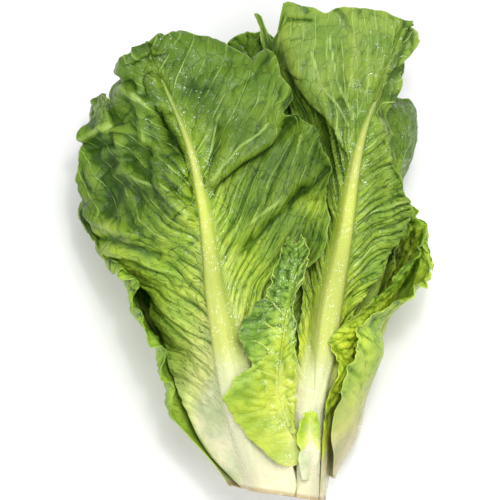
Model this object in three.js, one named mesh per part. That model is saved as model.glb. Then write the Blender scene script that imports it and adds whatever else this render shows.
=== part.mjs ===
// A romaine lettuce head lying on its side: a short cut stem, and the leaves that grow from it.
// Millimetres, +Z up. The head's axis runs along +Y, from the cut end to the leaf tips.
//
// Each leaf is one closed blade with a thick midrib on its outer face. The leaves are laid on from
// the heart outwards: a leaf has a wished shape, and every point of it is pushed away from the
// head's axis until it clears the leaves that are already there. The last one lies flat underneath.

import * as THREE from "three";

// ---- the head as a whole ----

const HEAD_LENGTH = 285; // from the cut end to the highest tip
// Values along the head, at even steps from the cut end to the tips.
const AXIS_X = [20, 15, 10, 1, -1, -2];
const HALF_WIDTH = [25, 54, 72, 89, 88, 68];
const TOP_HEIGHT = [25, 38, 45, 47, 42, 34];
const BOTTOM_DEPTH = [25, 37, 43, 44, 42, 36];
const FLAT_BELOW = 1.3; // how much squarer the lower half of the section is than an ellipse

const STEM_LENGTH = 72;
const STEM_RADIUS = [16, 14, 11, 7.6, 4.4, 1.4]; // at even steps along the stem

const BLADE = 0.9; // thickness of the leaf blade
const RIB_HALF_WIDTH = [13, 13, 10, 7.5, 5, 3, 2]; // midrib, along a large leaf
const RIB_HEIGHT = [3.2, 5.2, 5.4, 4, 2.6, 1.4, 0.6];
const RIB_ROUNDING = 0.16; // how softly the two halves of a front leaf meet at its midrib
const SIDE_LENGTH = Math.hypot(1, RIB_ROUNDING) - RIB_ROUNDING;
const PAST_CREST = 1.04; // where a turned down half ends, as a share of its width
const WIDEST_SLOPE = 0.45; // and the widest slope it has, as the same share
const CLEARANCE = [0.6, 1.5]; // between two leaves, at the cut end and past CLEARANCE_GROWS
const CLEARANCE_GROWS = 70;

// ---- the map of what is already laid on ----

const ANGLE_CELLS = 180; // round the head
const HEIGHT_CELLS = 96; // along it
const HEIGHT_POWER = 1.35; // the map's cells are closer together at the cut end
const SPREAD_CELLS = 5; // how far a leaf's edge lifts the next leaf
const BLUR_CELLS = 3; // how far the map is smoothed each way, and how often
const BLUR_PASSES = 2;
const STAMP_STEPS = 5; // samples along each side of a mesh cell
const TURN_STEPS = 24; // for walking round the head from a midrib to an edge
const RISE_STEPS = 12; // for lifting a front leaf over what lies below it
const EDGE_POWER = 1.25; // a leaf's columns are closer together at its midrib

const PRESSED = 1.2; // what sticks out less than this above the ground is pressed onto it
const CUT_SLOPE = -0.15; // the cut across the stem and the midribs isn't square to the head
const CUT_AT = 6; // x where the slanting cut meets y = 0
const CUT_REACH = 45; // how far up the head the slant is felt

const GREEN = 0x5c8f2c;
const PALE = 0xc9d66b;
const WHITE = 0xe8e6c4;

const radians = (degrees) => (degrees * Math.PI) / 180;
const clamp = (x, low, high) => Math.min(Math.max(x, low), high);
const mix = (a, b, t) => a + (b - a) * t;
const smooth = (t) => {
  const x = clamp(t, 0, 1);
  return x * x * (3 - 2 * x);
};
const largerOf = (a, b, round) => (a + b + Math.hypot(a - b, round)) / 2;

// A smooth curve through evenly spaced numbers, at t from 0 to 1.
function curve(values, t) {
  const last = values.length - 1;
  const x = clamp(t, 0, 1) * last;
  const i = Math.min(Math.floor(x), last - 1);
  const f = x - i;
  const a = values[Math.max(i - 1, 0)];
  const b = values[i];
  const c = values[i + 1];
  const d = values[Math.min(i + 2, last)];
  return b + (f / 2) * (c - a + f * (2 * a - 5 * b + 4 * c - d + f * (3 * (b - c) + d - a)));
}

// The same through points.
const curvePoint = (points, t) => [0, 1, 2].map((k) => curve(points.map((p) => p[k]), t));

const axisX = (y) => curve(AXIS_X, y / HEAD_LENGTH);
const clearance = (y) => mix(CLEARANCE[0], CLEARANCE[1], smooth(y / CLEARANCE_GROWS));

// Distance from the axis to the head's outside, for an angle from +X towards +Z.
function headRadius(angle, y) {
  const across = Math.cos(angle);
  const up = Math.sin(angle);
  const width = curve(HALF_WIDTH, y / HEAD_LENGTH);
  const height = curve(up > 0 ? TOP_HEIGHT : BOTTOM_DEPTH, y / HEAD_LENGTH);
  const power = 2 + FLAT_BELOW * smooth(-2 * up);
  return (Math.abs(across / width) ** power + Math.abs(up / height) ** power) ** (-1 / power);
}

// ---- what is laid on so far: the distance from the axis, by angle and height ----

class Layers {
  constructor() {
    this.share = new Float64Array(ANGLE_CELLS * (HEIGHT_CELLS + 1));
    for (let j = 0; j <= HEIGHT_CELLS; j++) {
      const y = HEAD_LENGTH * (j / HEIGHT_CELLS) ** HEIGHT_POWER;
      const stem = y < STEM_LENGTH ? curve(STEM_RADIUS, y / STEM_LENGTH) : 0;
      for (let i = 0; i < ANGLE_CELLS; i++) {
        const share = stem / headRadius((2 * Math.PI * i) / ANGLE_CELLS, y);
        this.share[j * ANGLE_CELLS + i] = share;
      }
    }
  }

  cell(x, y, z) {
    const turn = Math.atan2(z, x - axisX(y)) / (2 * Math.PI);
    return [
      (turn - Math.floor(turn)) * ANGLE_CELLS,
      clamp(y / HEAD_LENGTH, 0, 1) ** (1 / HEIGHT_POWER) * HEIGHT_CELLS,
    ];
  }

  mark([x, y, z]) {
    const across = x - axisX(y);
    const r = Math.hypot(across, z) / headRadius(Math.atan2(z, across), y);
    const [a, h] = this.cell(x, y, z);
    for (const i of [Math.floor(a), Math.floor(a) + 1])
      for (const j of [Math.floor(h), Math.min(Math.floor(h) + 1, HEIGHT_CELLS)]) {
        const at = j * ANGLE_CELLS + (i % ANGLE_CELLS);
        this.share[at] = Math.max(this.share[at], r);
      }
  }

  // Spreads what is laid on sideways and rounds its steps off, so that the next leaf drapes over it.
  settle(reach) {
    const pass = (from, reach, combine) => {
      const rows = new Float64Array(from.length);
      const out = new Float64Array(from.length);
      for (let j = 0; j <= HEIGHT_CELLS; j++)
        for (let i = 0; i < ANGLE_CELLS; i++) {
          const near = [];
          for (let k = -reach; k <= reach; k++)
            near.push(from[j * ANGLE_CELLS + ((i + k + ANGLE_CELLS) % ANGLE_CELLS)]);
          rows[j * ANGLE_CELLS + i] = combine(near);
        }
      for (let j = 0; j <= HEIGHT_CELLS; j++)
        for (let i = 0; i < ANGLE_CELLS; i++) {
          const near = [];
          for (let k = -reach; k <= reach; k++)
            near.push(rows[clamp(j + k, 0, HEIGHT_CELLS) * ANGLE_CELLS + i]);
          out[j * ANGLE_CELLS + i] = combine(near);
        }
      return out;
    };
    const largest = (near) => Math.max(...near);
    const average = (near) => near.reduce((a, b) => a + b) / near.length;
    this.shell = pass(this.share, reach, largest);
    for (let n = 0; n < BLUR_PASSES; n++) this.shell = pass(this.shell, BLUR_CELLS, average);
  }

  reach(x, y, z) {
    const [a, h] = this.cell(x, y, z);
    const i = Math.floor(a);
    const j = Math.min(Math.floor(h), HEIGHT_CELLS - 1);
    const at = (m, n) => this.shell[(j + n) * ANGLE_CELLS + ((i + m) % ANGLE_CELLS)];
    const share = mix(mix(at(0, 0), at(1, 0), a - i), mix(at(0, 1), at(1, 1), a - i), h - j);
    return share * headRadius(Math.atan2(z, x - axisX(y)), y);
  }
}

const layers = new Layers();

// ---- the shapes a leaf can wish for: a point for u, base to tip, and v, left edge to right edge ----

// A leaf that wraps round the head, as a part of a layer of it.
function wrapped({ base, tip, angle, layer, left, right, flare = 0, shoulder = 0.2, lift = 0.05 }) {
  const length = tip - base;
  return (u, v) => {
    const side = Math.abs(v);
    const y =
      base + length * (u + lift * Math.sin(Math.PI * u) * side - shoulder * u ** 3 * side ** 2.4);
    const half = curve(v < 0 ? left : right, u);
    const share = curve(layer, u) + flare * u * side * side;
    let turn = radians(curve(angle, u));
    for (let n = 0; n < TURN_STEPS; n++) {
      const r = headRadius(turn, y) * share;
      const ahead = headRadius(turn + 0.01, y) * share;
      const speed = Math.hypot(r, (ahead - r) / 0.01);
      turn -= (Math.sign(v) * side * half) / TURN_STEPS / speed;
    }
    const r = headRadius(turn, y) * share;
    return [axisX(y) + r * Math.cos(turn), y, r * Math.sin(turn)];
  };
}

// A leaf laid out by its midrib and its two edges, with each half arched outwards between them.
// Past its crest line the left half can turn down by the drop.
function laidOut({ rib, left, right, arch, crown = [0, 0], crest = [1, 1], drop = [0, 0] }) {
  return (u, v) => {
    const side = (Math.hypot(v, RIB_ROUNDING) - RIB_ROUNDING) / SIDE_LENGTH;
    const a = curvePoint(rib, u);
    const b = curvePoint(v < 0 ? left : right, u);
    const bow = 4 * side * (1 - side);
    const rise = bow * crown[v < 0 ? 0 : 1] * u ** 6;
    const bulge = (bow / 2) * curve(v < 0 ? arch[0] : arch[1], u);
    const turns = curve(crest, u);
    const slope = clamp(PAST_CREST - turns, 0, WIDEST_SLOPE);
    const fall = v < 0 && slope > 0 ? smooth((side - turns) / slope) * curve(drop, u) : 0;
    const z = mix(a[2], b[2], side) + bulge - fall;
    return [mix(a[0], b[0], side), mix(a[1], b[1], side) + rise, z];
  };
}

// ---- one leaf ----

function makeLeaf(spec) {
  const { rows, columns, scale = 1, rib = 1, waves = 5, wave = 4 } = spec;
  const wish = spec.shape;
  layers.settle(spec.spread ?? SPREAD_CELLS);
  const across = [];
  for (let j = -columns; j <= columns; j++)
    across.push(Math.sign(j) * Math.abs(j / columns) ** EDGE_POWER);

  // The inner face, pushed clear of what is laid on, with waves towards the edges.
  const thickness = (u, v) => {
    const half = curve(v < 0 ? spec.half[0] : spec.half[1], u);
    const s = (Math.abs(v) * half) / (curve(RIB_HALF_WIDTH, u) * scale);
    return BLADE + rib * curve(RIB_HEIGHT, u) * Math.exp(-s * s * 1.4);
  };
  const waving = (u, v) => {
    const edge = Math.max(Math.abs(v) ** 2.6, smooth((u - 0.82) / 0.18)) * smooth((u - 0.12) / 0.3);
    const phase = 2 * Math.PI * (waves * u + 2.2 * v * u ** 4) + (v < 0 ? spec.phase : 1.9);
    return wave * edge * (0.5 + 0.5 * Math.sin(phase + 0.4 * spec.phase));
  };
  const inner = [];
  for (let i = 0; i <= rows; i++) {
    const u = i / rows;
    inner.push(
      across.map((v) => {
        let [x, y, z] = wish(u, v);
        const cx = axisX(y);
        // A leaf on top rises over what lies below it before it moves outwards.
        for (let n = 0; spec.rises && n < RISE_STEPS; n++) {
          const clear = layers.reach(x, y, z) + clearance(y);
          const needed = Math.sqrt(Math.max(clear * clear - (x - cx) ** 2, 0));
          z = mix(z, largerOf(z, needed, 0.3 + y / 120), 0.6);
        }
        const r = Math.hypot(x - cx, z);
        const clear = layers.reach(x, y, z) + clearance(y);
        const curl = spec.curl ? spec.curl(u, v) : 0;
        const out = largerOf(r, clear, spec.rises ? 0.1 : 0.3 + y / 120) + waving(u, v) + curl;
        x = cx + ((x - cx) * out) / r;
        z = (z * out) / r;
        return new THREE.Vector3(x, y, z);
      }),
    );
  }

  // A leaf the head lies on is pressed flat against the ground.
  const lowest = Math.min(...inner.flat().map((p) => p.z));
  const floor = spec.lies ? lowest - BLADE : -Infinity;
  if (spec.lies)
    for (const row of inner)
      row.forEach((p, j) => {
        const [from, to] = spec.lies;
        const along = smooth((p.y - from) / 40) * smooth((to - p.y) / 40);
        p.z = mix(p.z, lowest, along * (1 - smooth((Math.abs(across[j]) - 0.5) / 0.5)));
      });

  // The outer face, a thickness away along the surface.
  const at = (i, j) => inner[clamp(i, 0, rows)][clamp(j, 0, 2 * columns)];
  const outer = inner.map((row, i) =>
    row.map((p, j) => {
      const along = at(i + 1, j).clone().sub(at(i - 1, j));
      const over = at(i, j + 1).clone().sub(at(i, j - 1));
      const normal = over.cross(along).normalize();
      const q = p.clone().addScaledVector(normal, thickness(i / rows, across[j]));
      if (i === 0) q.y = p.y;
      if (q.z < floor + PRESSED) q.z = floor;
      return q;
    }),
  );

  for (const face of [inner, outer])
    for (let i = 0; i < rows; i++)
      for (let j = 0; j < 2 * columns; j++)
        for (let m = 0; m <= STAMP_STEPS; m++)
          for (let n = 0; n <= STAMP_STEPS; n++) {
            const a = face[i][j].clone().lerp(face[i + 1][j], m / STAMP_STEPS);
            const b = face[i][j + 1].clone().lerp(face[i + 1][j + 1], m / STAMP_STEPS);
            layers.mark(a.lerp(b, n / STAMP_STEPS).toArray());
          }

  return closedBlade(inner, outer);
}

// One closed surface from the two faces of a blade, split into triangles alike, with a rim.
function closedBlade(inner, outer) {
  const rows = inner.length - 1;
  const columns = inner[0].length - 1;
  const points = [...inner.flat(), ...outer.flat()];
  const width = columns + 1;
  const offset = width * (rows + 1);
  const inside = (i, j) => i * width + j;
  const outside = (i, j) => offset + inside(i, j);
  const index = [];
  const quad = (a, b, c, d) => index.push(a, b, c, a, c, d);
  for (let i = 0; i < rows; i++)
    for (let j = 0; j < columns; j++) {
      quad(outside(i, j), outside(i, j + 1), outside(i + 1, j + 1), outside(i + 1, j));
      index.push(inside(i, j), inside(i + 1, j + 1), inside(i, j + 1));
      index.push(inside(i, j), inside(i + 1, j), inside(i + 1, j + 1));
    }
  for (let j = 0; j < columns; j++) {
    quad(inside(0, j), inside(0, j + 1), outside(0, j + 1), outside(0, j));
    quad(inside(rows, j + 1), inside(rows, j), outside(rows, j), outside(rows, j + 1));
  }
  for (let i = 0; i < rows; i++) {
    quad(inside(i + 1, 0), inside(i, 0), outside(i, 0), outside(i + 1, 0));
    quad(inside(i, columns), inside(i + 1, columns), outside(i + 1, columns), outside(i, columns));
  }
  return new THREE.BufferGeometry().setFromPoints(points).setIndex(index);
}

// ---- the stem ----

function makeStem() {
  const rings = 8;
  const profile = [new THREE.Vector2(0, 0)];
  for (let n = 0; n <= rings; n++) {
    const t = n / rings;
    profile.push(new THREE.Vector2(curve(STEM_RADIUS, t) - 0.1, STEM_LENGTH * t));
  }
  profile.push(new THREE.Vector2(0, STEM_LENGTH));
  const geometry = new THREE.LatheGeometry(profile, 18);
  const position = geometry.getAttribute("position");
  for (let n = 0; n < position.count; n++) {
    const y = position.getY(n);
    position.setX(n, position.getX(n) + axisX(y));
  }
  return geometry;
}

// ---- the leaves, from the heart outwards ----

const head = new THREE.Group();
const material = (colour) =>
  new THREE.MeshStandardMaterial({ color: colour, roughness: 0.45, metalness: 0 });

function add(name, geometry, colour) {
  const mesh = new THREE.Mesh(geometry, material(colour));
  mesh.name = name;
  head.add(mesh);
}

add("stem", makeStem(), WHITE);

// The heart: small leaves that turn round the stem by the golden angle, each a little larger.
const HEART_LEAVES = 6;
const GOLDEN_ANGLE = 137.5;
for (let n = 0; n < HEART_LEAVES; n++) {
  const size = n / (HEART_LEAVES - 1);
  const turn = 20 + GOLDEN_ANGLE * n;
  const half = [8, 14, 20, 26, 28, 22].map((w) => w * mix(0.75, 1.1, size));
  const shape = wrapped({
    base: mix(34, 12, size),
    tip: mix(140, 215, size),
    angle: [turn, turn + 4, turn + 8],
    layer: [0.2, 0.2, mix(0.2, 0.36, size), mix(0.24, 0.4, size)],
    left: half,
    right: half,
    flare: 0.05,
  });
  const leaf = makeLeaf({
    shape,
    half: [half, half],
    rows: 10,
    columns: 4,
    scale: 0.55,
    rib: 0.5,
    wave: 1.5,
    waves: 4,
    phase: n * 2.1,
  });
  add(`heart_leaf_${n + 1}`, leaf, PALE);
}

// The leaves that wrap round the heart, most of them seen only by an edge or a tip.
const WRAPPERS = {
  leaf_behind_gap: {
    base: 0, tip: 263, angle: [100, 96, 92, 88, 84, 81],
    layer: [0.4, 0.4, 0.4, 0.4, 0.42, 0.5],
    left: [12, 22, 38, 46, 46, 34], right: [12, 22, 38, 46, 44, 30], phase: 0.4,
  },
  under_leaf_left: {
    base: 0, tip: 250, angle: [235, 240, 244, 246, 246, 246],
    layer: [0.4, 0.56, 0.74, 0.78, 0.8, 0.8],
    left: [12, 24, 42, 52, 52, 38], right: [12, 24, 42, 52, 52, 38], phase: 2.6,
  },
  back_leaf_left: {
    base: 0, tip: 227, angle: [178, 176, 174, 172, 172, 172],
    layer: [0.4, 0.56, 0.8, 0.92, 0.98, 0.98],
    left: [12, 26, 46, 58, 58, 42], right: [12, 26, 46, 54, 50, 36], phase: 4.4,
  },
  back_leaf_right: {
    base: 0, tip: 252, angle: [15, 12, 10, 10, 12, 14],
    layer: [0.4, 0.56, 0.8, 0.94, 1.04, 1.06],
    left: [12, 14, 14, 14, 16, 20], right: [12, 26, 44, 52, 50, 38], phase: 1.2,
  },
};

for (const [name, spec] of Object.entries(WRAPPERS)) {
  const { left, right } = spec;
  const leaf = makeLeaf({
    shape: wrapped(spec), half: [left, right], rows: 18, columns: 5, scale: 0.8, rib: 0.7, wave: 2,
    waves: 5, phase: spec.phase,
  });
  add(name, leaf, GREEN);
}

// The leaf on the right of the front.
const frontRight = {
  rib: [
    [35.6, 0, 10], [34, 23, 20], [36.8, 52, 28], [40, 80, 34], [44, 109, 38], [50, 138, 41],
    [54.6, 164, 44], [58.6, 187, 46], [63.8, 207, 48], [73, 230, 49], [82, 250, 48], [88, 268, 46],
  ],
  left: [
    [25, 0, 14], [24.7, 23, 20], [23, 52, 22], [23.6, 80, 25], [27.6, 109, 30], [24, 135, 34],
    [22, 160, 36], [27, 190, 37], [22, 215, 37], [14, 240, 36], [6, 260, 34], [2, 274, 33],
  ],
  right: [
    [43, 0, 2], [47, 25, 6], [50, 52, 8], [52, 80, 9], [58, 104, 11], [70, 122, 12],
    [80, 139, 12], [86, 155, 13], [87, 168, 15], [82, 182, 22], [75, 196, 30], [73, 211, 38],
    [84, 234, 40], [97, 257, 38],
  ],
  arch: [[0, 0, 0, 0, 4, 6], [0, 6, 12, 14, 10, 4]],
  crown: [5, 4],
  crest: [0.5, 0.5, 0.5, 0.45, 0.4, 0.22, 0.15, 0.12, 0.48, 0.78, 0.86, 0.82],
  drop: [0, 0, 1, 2, 4, 8, 10, 10, 11, 13, 13, 9],
};
add(
  "front_leaf_right",
  makeLeaf({
    shape: laidOut(frontRight),
    half: [[9, 13, 18, 32, 42, 80], [9, 15, 28, 44, 30, 20]],
    rows: 22, columns: 7, wave: 3, waves: 5, phase: 0.2, rises: true,
  }),
  GREEN,
);

// The underside and the sides.
const under = {
  base: 0, tip: 245, angle: [310, 306, 302, 300, 300, 300],
  layer: [0.5, 0.66, 0.8, 0.86, 0.88, 0.88],
  left: [12, 26, 44, 50, 48, 36], right: [12, 26, 46, 56, 54, 38],
};
add(
  "under_leaf_right",
  makeLeaf({
    shape: wrapped(under), half: [under.left, under.right], rows: 18, columns: 5, scale: 0.9,
    rib: 0.7, wave: 1.5, waves: 5, phase: 3.3,
  }),
  GREEN,
);

// The leaf on the left of the front, the largest.
const frontLeft = {
  rib: [
    [6, 0, 14], [0, 23, 26], [-8, 52, 37], [-13.8, 80.5, 42], [-18.4, 109, 45], [-23, 138, 48],
    [-27.6, 167, 49], [-34.5, 195.5, 49], [-43.7, 218.5, 46], [-53, 238.6, 42], [-58.7, 256, 40],
  ],
  left: [
    [-5.8, 0, 6], [-26, 20, 2], [-39, 52, -4], [-50, 80, -6], [-57.5, 109, -4], [-72, 135, 2],
    [-89, 158, 6], [-100, 178, 8], [-95, 207, 14], [-83, 227, 22], [-73.6, 244, 30],
  ],
  right: [
    [22, 0, 14], [22, 23, 24], [14, 52, 30], [23, 80, 33], [29, 109, 36], [39, 131, 40],
    [43, 158, 42], [43.7, 178, 42], [40, 198, 42], [33, 217, 41], [14, 234.6, 40],
    [0, 242.6, 38], [-20, 256, 36], [-40, 260.5, 36],
  ],
  arch: [[0, 4, 10, 16, 16, 10], [0, 2, 6, 12, 14, 8]],
};
add(
  "front_leaf_left",
  makeLeaf({
    shape: laidOut(frontLeft),
    half: [[12, 20, 36, 60, 66, 40], [9, 18, 36, 62, 70, 40]],
    rows: 24, columns: 7, wave: 3, waves: 6, phase: 4.1, rises: true,
  }),
  GREEN,
);

const SIDES = {
  inner_leaf_right: {
    base: 0, tip: 152, angle: [-16, -10, -6, -6, -8, -8],
    layer: [0.5, 0.7, 0.8, 0.87, 0.9, 0.93],
    left: [11, 20, 32, 42, 51, 51, 40, 30], right: [11, 22, 34, 38, 34, 24], phase: 0.9,
  },
  outer_leaf_left: {
    base: 0, tip: 177, angle: [206, 204, 202, 200, 198, 198],
    layer: [0.6, 0.72, 1.02, 1.12, 1, 0.94],
    curl: (u, v) => 3 * smooth((v - 0.6) / 0.4) * smooth((u - 0.2) / 0.2),
    left: [12, 26, 40, 46, 40, 28], right: [10, 18, 42, 48, 42, 28], phase: 2.2,
  },
  outer_leaf_right: {
    base: 13, tip: 168, angle: [-26, -26, -26, -26, -26, -26],
    layer: [0.6, 0.8, 0.86, 0.88, 0.88, 0.86],
    left: [12, 42, 56, 62, 60, 48, 40, 32], right: [9, 18, 32, 40, 36, 26], phase: 5.2,
    curl: (u, v) => 5 * smooth((-v - 0.45) / 0.55) * smooth((u - 0.5) / 0.2),
  },
};
for (const [name, spec] of Object.entries(SIDES)) {
  const { left, right } = spec;
  const leaf = makeLeaf({
    shape: wrapped(spec), half: [left, right], rows: 18, columns: 5, scale: 0.9, rib: 0.9, wave: 3,
    waves: 5, phase: spec.phase, curl: spec.curl,
  });
  add(name, leaf, GREEN);
}

// The outermost leaf underneath, pressed flat where the head rests on it.
const bottom = {
  base: 0, tip: 252, angle: [268, 268, 268, 268, 268, 268],
  layer: [0.7, 0.9, 1, 1, 1, 1],
  left: [12, 28, 46, 58, 58, 42], right: [12, 28, 46, 58, 58, 42],
};
add(
  "bottom_leaf",
  makeLeaf({
    shape: wrapped(bottom), half: [bottom.left, bottom.right], rows: 22, columns: 5, scale: 0.9,
    rib: 0.6, wave: 0, phase: 0, lies: [36, 245],
  }),
  GREEN,
);

// The small crumpled leaf that lies between the two front ribs, and the shoot on the right rib.
const small = {
  rib: [
    [30.5, 10, 30], [20, 40, 30], [15.5, 63, 30], [18.4, 92, 30], [23, 121, 30], [24, 141, 30],
  ],
  left: [
    [24, 10, 30], [8, 22, 30], [-5, 38, 30], [-12.5, 51, 30], [-8, 65, 30], [-1, 76, 30],
    [-5, 91, 30], [3, 108, 30], [10, 123, 30], [16, 138, 30], [20, 148, 30],
  ],
  right: [
    [31, 10, 30], [27.5, 22, 30], [25.8, 36, 30], [24.5, 50, 30], [25.5, 62, 30], [25, 83, 30],
    [25.8, 100, 30], [26.4, 115, 30], [31, 130, 30], [33, 138, 30], [28, 148, 30],
  ],
  arch: [[0, 2, 3, 3, 2, 0], [0, 1, 2, 2, 1, 0]],
};
add(
  "small_leaf",
  makeLeaf({
    shape: laidOut(small),
    half: [[3, 10, 22, 22, 16, 6], [2, 5, 10, 10, 8, 6]],
    rows: 18, columns: 4, scale: 0.35, rib: 0.35, wave: 3, waves: 6, phase: 1.2, rises: true, spread: 3,
  }),
  PALE,
);

const shoot = {
  rib: [[33.5, 6, 20], [38, 23, 20], [38.5, 38, 20], [38, 47, 20]],
  left: [[32, 7, 20], [35.5, 23, 20], [33.5, 37, 20], [35, 46, 20]],
  right: [[35.5, 5, 20], [40.5, 22, 20], [43, 36, 20], [41, 46, 20]],
  arch: [[0, 0, 0], [0, 0, 0]],
};
add(
  "shoot",
  makeLeaf({
    shape: laidOut(shoot),
    half: [[2, 3, 5, 3], [2, 3, 5, 3]],
    rows: 10, columns: 3, scale: 0.25, rib: 0.4, wave: 0.5, phase: 1.2, rises: true, spread: 3,
  }),
  PALE,
);

// The slanting cut, and the head's own frame: the middle of its underside is the origin.
head.children.forEach(({ geometry }) => {
  const position = geometry.getAttribute("position");
  for (let n = 0; n < position.count; n++) {
    const y = position.getY(n);
    const slant = CUT_SLOPE * (position.getX(n) - CUT_AT) * (1 - smooth(y / CUT_REACH));
    position.setY(n, y + slant);
  }
});
const box = new THREE.Box3().setFromObject(head);
const middle = box.getCenter(new THREE.Vector3());
head.children.forEach(({ geometry }) => geometry.translate(-middle.x, -middle.y, -box.min.z));

export default head;
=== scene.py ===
"""A romaine lettuce head: its leaves, laid over each other from the heart outwards, and its cut stem.

Every leaf is a closed blade with a midrib on its outer face. A leaf's large shape is worked out as
in the solids that it stands for, from the same named values, in millimetres. It is then refined to a
fine sheet that gets its folds, veins and ruffled margins, and its thickness from a Solidify modifier.
"""

import math

import bpy
import numpy as np
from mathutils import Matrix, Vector


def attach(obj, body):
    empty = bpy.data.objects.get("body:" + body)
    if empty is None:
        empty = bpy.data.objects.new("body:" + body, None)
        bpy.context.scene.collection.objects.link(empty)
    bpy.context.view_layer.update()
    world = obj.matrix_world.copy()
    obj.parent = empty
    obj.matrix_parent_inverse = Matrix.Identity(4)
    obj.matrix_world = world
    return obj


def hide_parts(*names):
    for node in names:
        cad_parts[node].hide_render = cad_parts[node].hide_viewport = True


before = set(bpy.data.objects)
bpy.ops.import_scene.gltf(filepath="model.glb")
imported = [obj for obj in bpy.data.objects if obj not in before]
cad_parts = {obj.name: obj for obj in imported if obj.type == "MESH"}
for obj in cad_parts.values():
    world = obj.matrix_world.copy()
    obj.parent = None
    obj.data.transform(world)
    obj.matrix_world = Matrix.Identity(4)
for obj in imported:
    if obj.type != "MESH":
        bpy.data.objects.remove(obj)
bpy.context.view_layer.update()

MM = 0.001

# ---- the head as a whole, in millimetres, with its axis along +Y ----

HEAD_LENGTH = 285  # from the cut end to the highest tip
# Values along the head, at even steps from the cut end to the tips.
AXIS_X = [20, 15, 10, 1, -1, -2]
HALF_WIDTH = [25, 54, 72, 89, 88, 68]
TOP_HEIGHT = [25, 38, 45, 47, 42, 34]
BOTTOM_DEPTH = [25, 37, 43, 44, 42, 36]
FLAT_BELOW = 1.3  # how much squarer the lower half of the section is than an ellipse

STEM_LENGTH = 72
STEM_RADIUS = [16, 14, 11, 7.6, 4.4, 1.4]  # at even steps along the stem
STEM_RINGS = 18
STEM_SIDES = 48

BLADE = 0.9  # thickness of the leaf blade in the solids
RIB_HALF_WIDTH = [13, 13, 10, 7.5, 5, 3, 2]  # midrib, along a large leaf
RIB_HEIGHT = [3.2, 5.2, 5.4, 4, 2.6, 1.4, 0.6]
RIB_ROUNDING = 0.16  # how softly the two halves of a front leaf meet at its midrib
SIDE_LENGTH = math.hypot(1, RIB_ROUNDING) - RIB_ROUNDING
PAST_CREST = 1.04  # where a turned down half ends, as a share of its width
WIDEST_SLOPE = 0.45  # and the widest slope it has, as the same share
CLEARANCE = (0.6, 1.5)  # between two leaves, at the cut end and past CLEARANCE_GROWS
CLEARANCE_GROWS = 70

ANGLE_CELLS = 180  # of the map of what is laid on, round the head
HEIGHT_CELLS = 96  # and along it
HEIGHT_POWER = 1.35  # the map's cells are closer together at the cut end
SPREAD_CELLS = 5  # how far a leaf's edge lifts the next leaf
BLUR_CELLS = 3  # how far the map is smoothed each way, and how often
BLUR_PASSES = 2
STAMP_STEPS = 5  # samples along each side of a coarse cell
TURN_STEPS = 24  # for walking round the head from a midrib to an edge
SMALL_TURN = 0.01
RISE_STEPS = 12  # for lifting a front leaf over what lies below it
EDGE_POWER = 1.25  # a leaf's columns are closer together at its midrib

PRESSED = 1.2  # what sticks out less than this above the ground is pressed onto it
CUT_SLOPE = -0.15  # the cut across the stem and the midribs isn't square to the head
CUT_AT = 6  # x where the slanting cut meets y = 0
CUT_REACH = 45  # how far up the head the slant is felt
NARROWING = [11, 11.5, 11.5, 4, 0]  # how far the right side is drawn in, from the cut end up
NARROWING_REACH = 90  # and where that ends
NARROWED = (25, 40)  # x where it starts, and how far out it is felt in full

# ---- the fine sheet, in millimetres ----

FINE = 1.15  # length of a fine cell
FINE_HIDDEN = 2.6  # the same for a leaf that is mostly covered
RIB_LOOK = [11, 10.2, 7.6, 4.2, 2.2, 0.9, 0.5]  # half width of the midrib as it is seen, along a leaf
RIB_ABOVE = 0.7  # the share of the midrib's height that also lifts the leaf's inner face
RIB_FADING = 1.2  # how fast the midrib falls off sideways
LOBE_SIZE = 14
TOOTH_SIZE = 3
MARGIN_REACH = 5  # how far in the lobes and the teeth of the margin are felt
VEIN_HALF_WIDTH = 0.9
PALE_WIDTH = 1.1  # of the pale lines
LEAN = 0.6  # how far a crest leans over its steep side, as a share of its height
PULL_REACH = 1.6  # how far in a pull on the margin is felt, in its own lengths
HOLLOW_DEPTH = 0.72  # a hollow that gets the full painted shade is this deep
DEEPEST_HIDDEN = -1.2  # of the relief of a covered leaf
THIN, THICK = 0.35, 0.75  # the blade at its margin, and past THIN_REACH from it
THIN_REACH = 3
THICKEST = 8.0  # what a full weight of the thickness group stands for
NOISE_CELLS = 64  # after this many units the noise repeats


def smooth(t):
    x = np.clip(t, 0, 1)
    return x * x * (3 - 2 * x)


def mix(a, b, t):
    return a + (b - a) * t


def larger_of(a, b, rounding):
    return (a + b + np.hypot(a - b, rounding)) / 2


def curve(values, t):
    """A smooth curve through evenly spaced values, which may be numbers, points or rows of points."""
    values = np.asarray(values, float)
    last = len(values) - 1
    x = np.clip(np.asarray(t, float), 0, 1) * last
    i = np.minimum(x.astype(int), last - 1)
    f = (x - i).reshape(x.shape + (1,) * (values.ndim - 1))
    a = values[np.maximum(i - 1, 0)]
    b = values[i]
    c = values[i + 1]
    d = values[np.minimum(i + 2, last)]
    return b + f / 2 * (c - a + f * (2 * a - 5 * b + 4 * c - d + f * (3 * (b - c) + d - a)))


def bell(x):
    """1 at 0, falling to 0 on both sides."""
    return np.exp(-(x**2))


def unit(vectors):
    return vectors / np.linalg.norm(vectors, axis=-1, keepdims=True)


def between(corner, f, g):
    """The value between the four corners of a cell, by how far it is from the first one."""
    return mix(mix(corner(0, 0), corner(1, 0), f), mix(corner(0, 1), corner(1, 1), f), g)


def by_half(left, pair, t):
    """The first of two curves on a leaf's left half, and the second on its right half."""
    return np.where(left, curve(pair[0], t), curve(pair[1], t))


def axis_x(y):
    return curve(AXIS_X, y / HEAD_LENGTH)


def clearance(y):
    return mix(CLEARANCE[0], CLEARANCE[1], smooth(y / CLEARANCE_GROWS))


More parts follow.
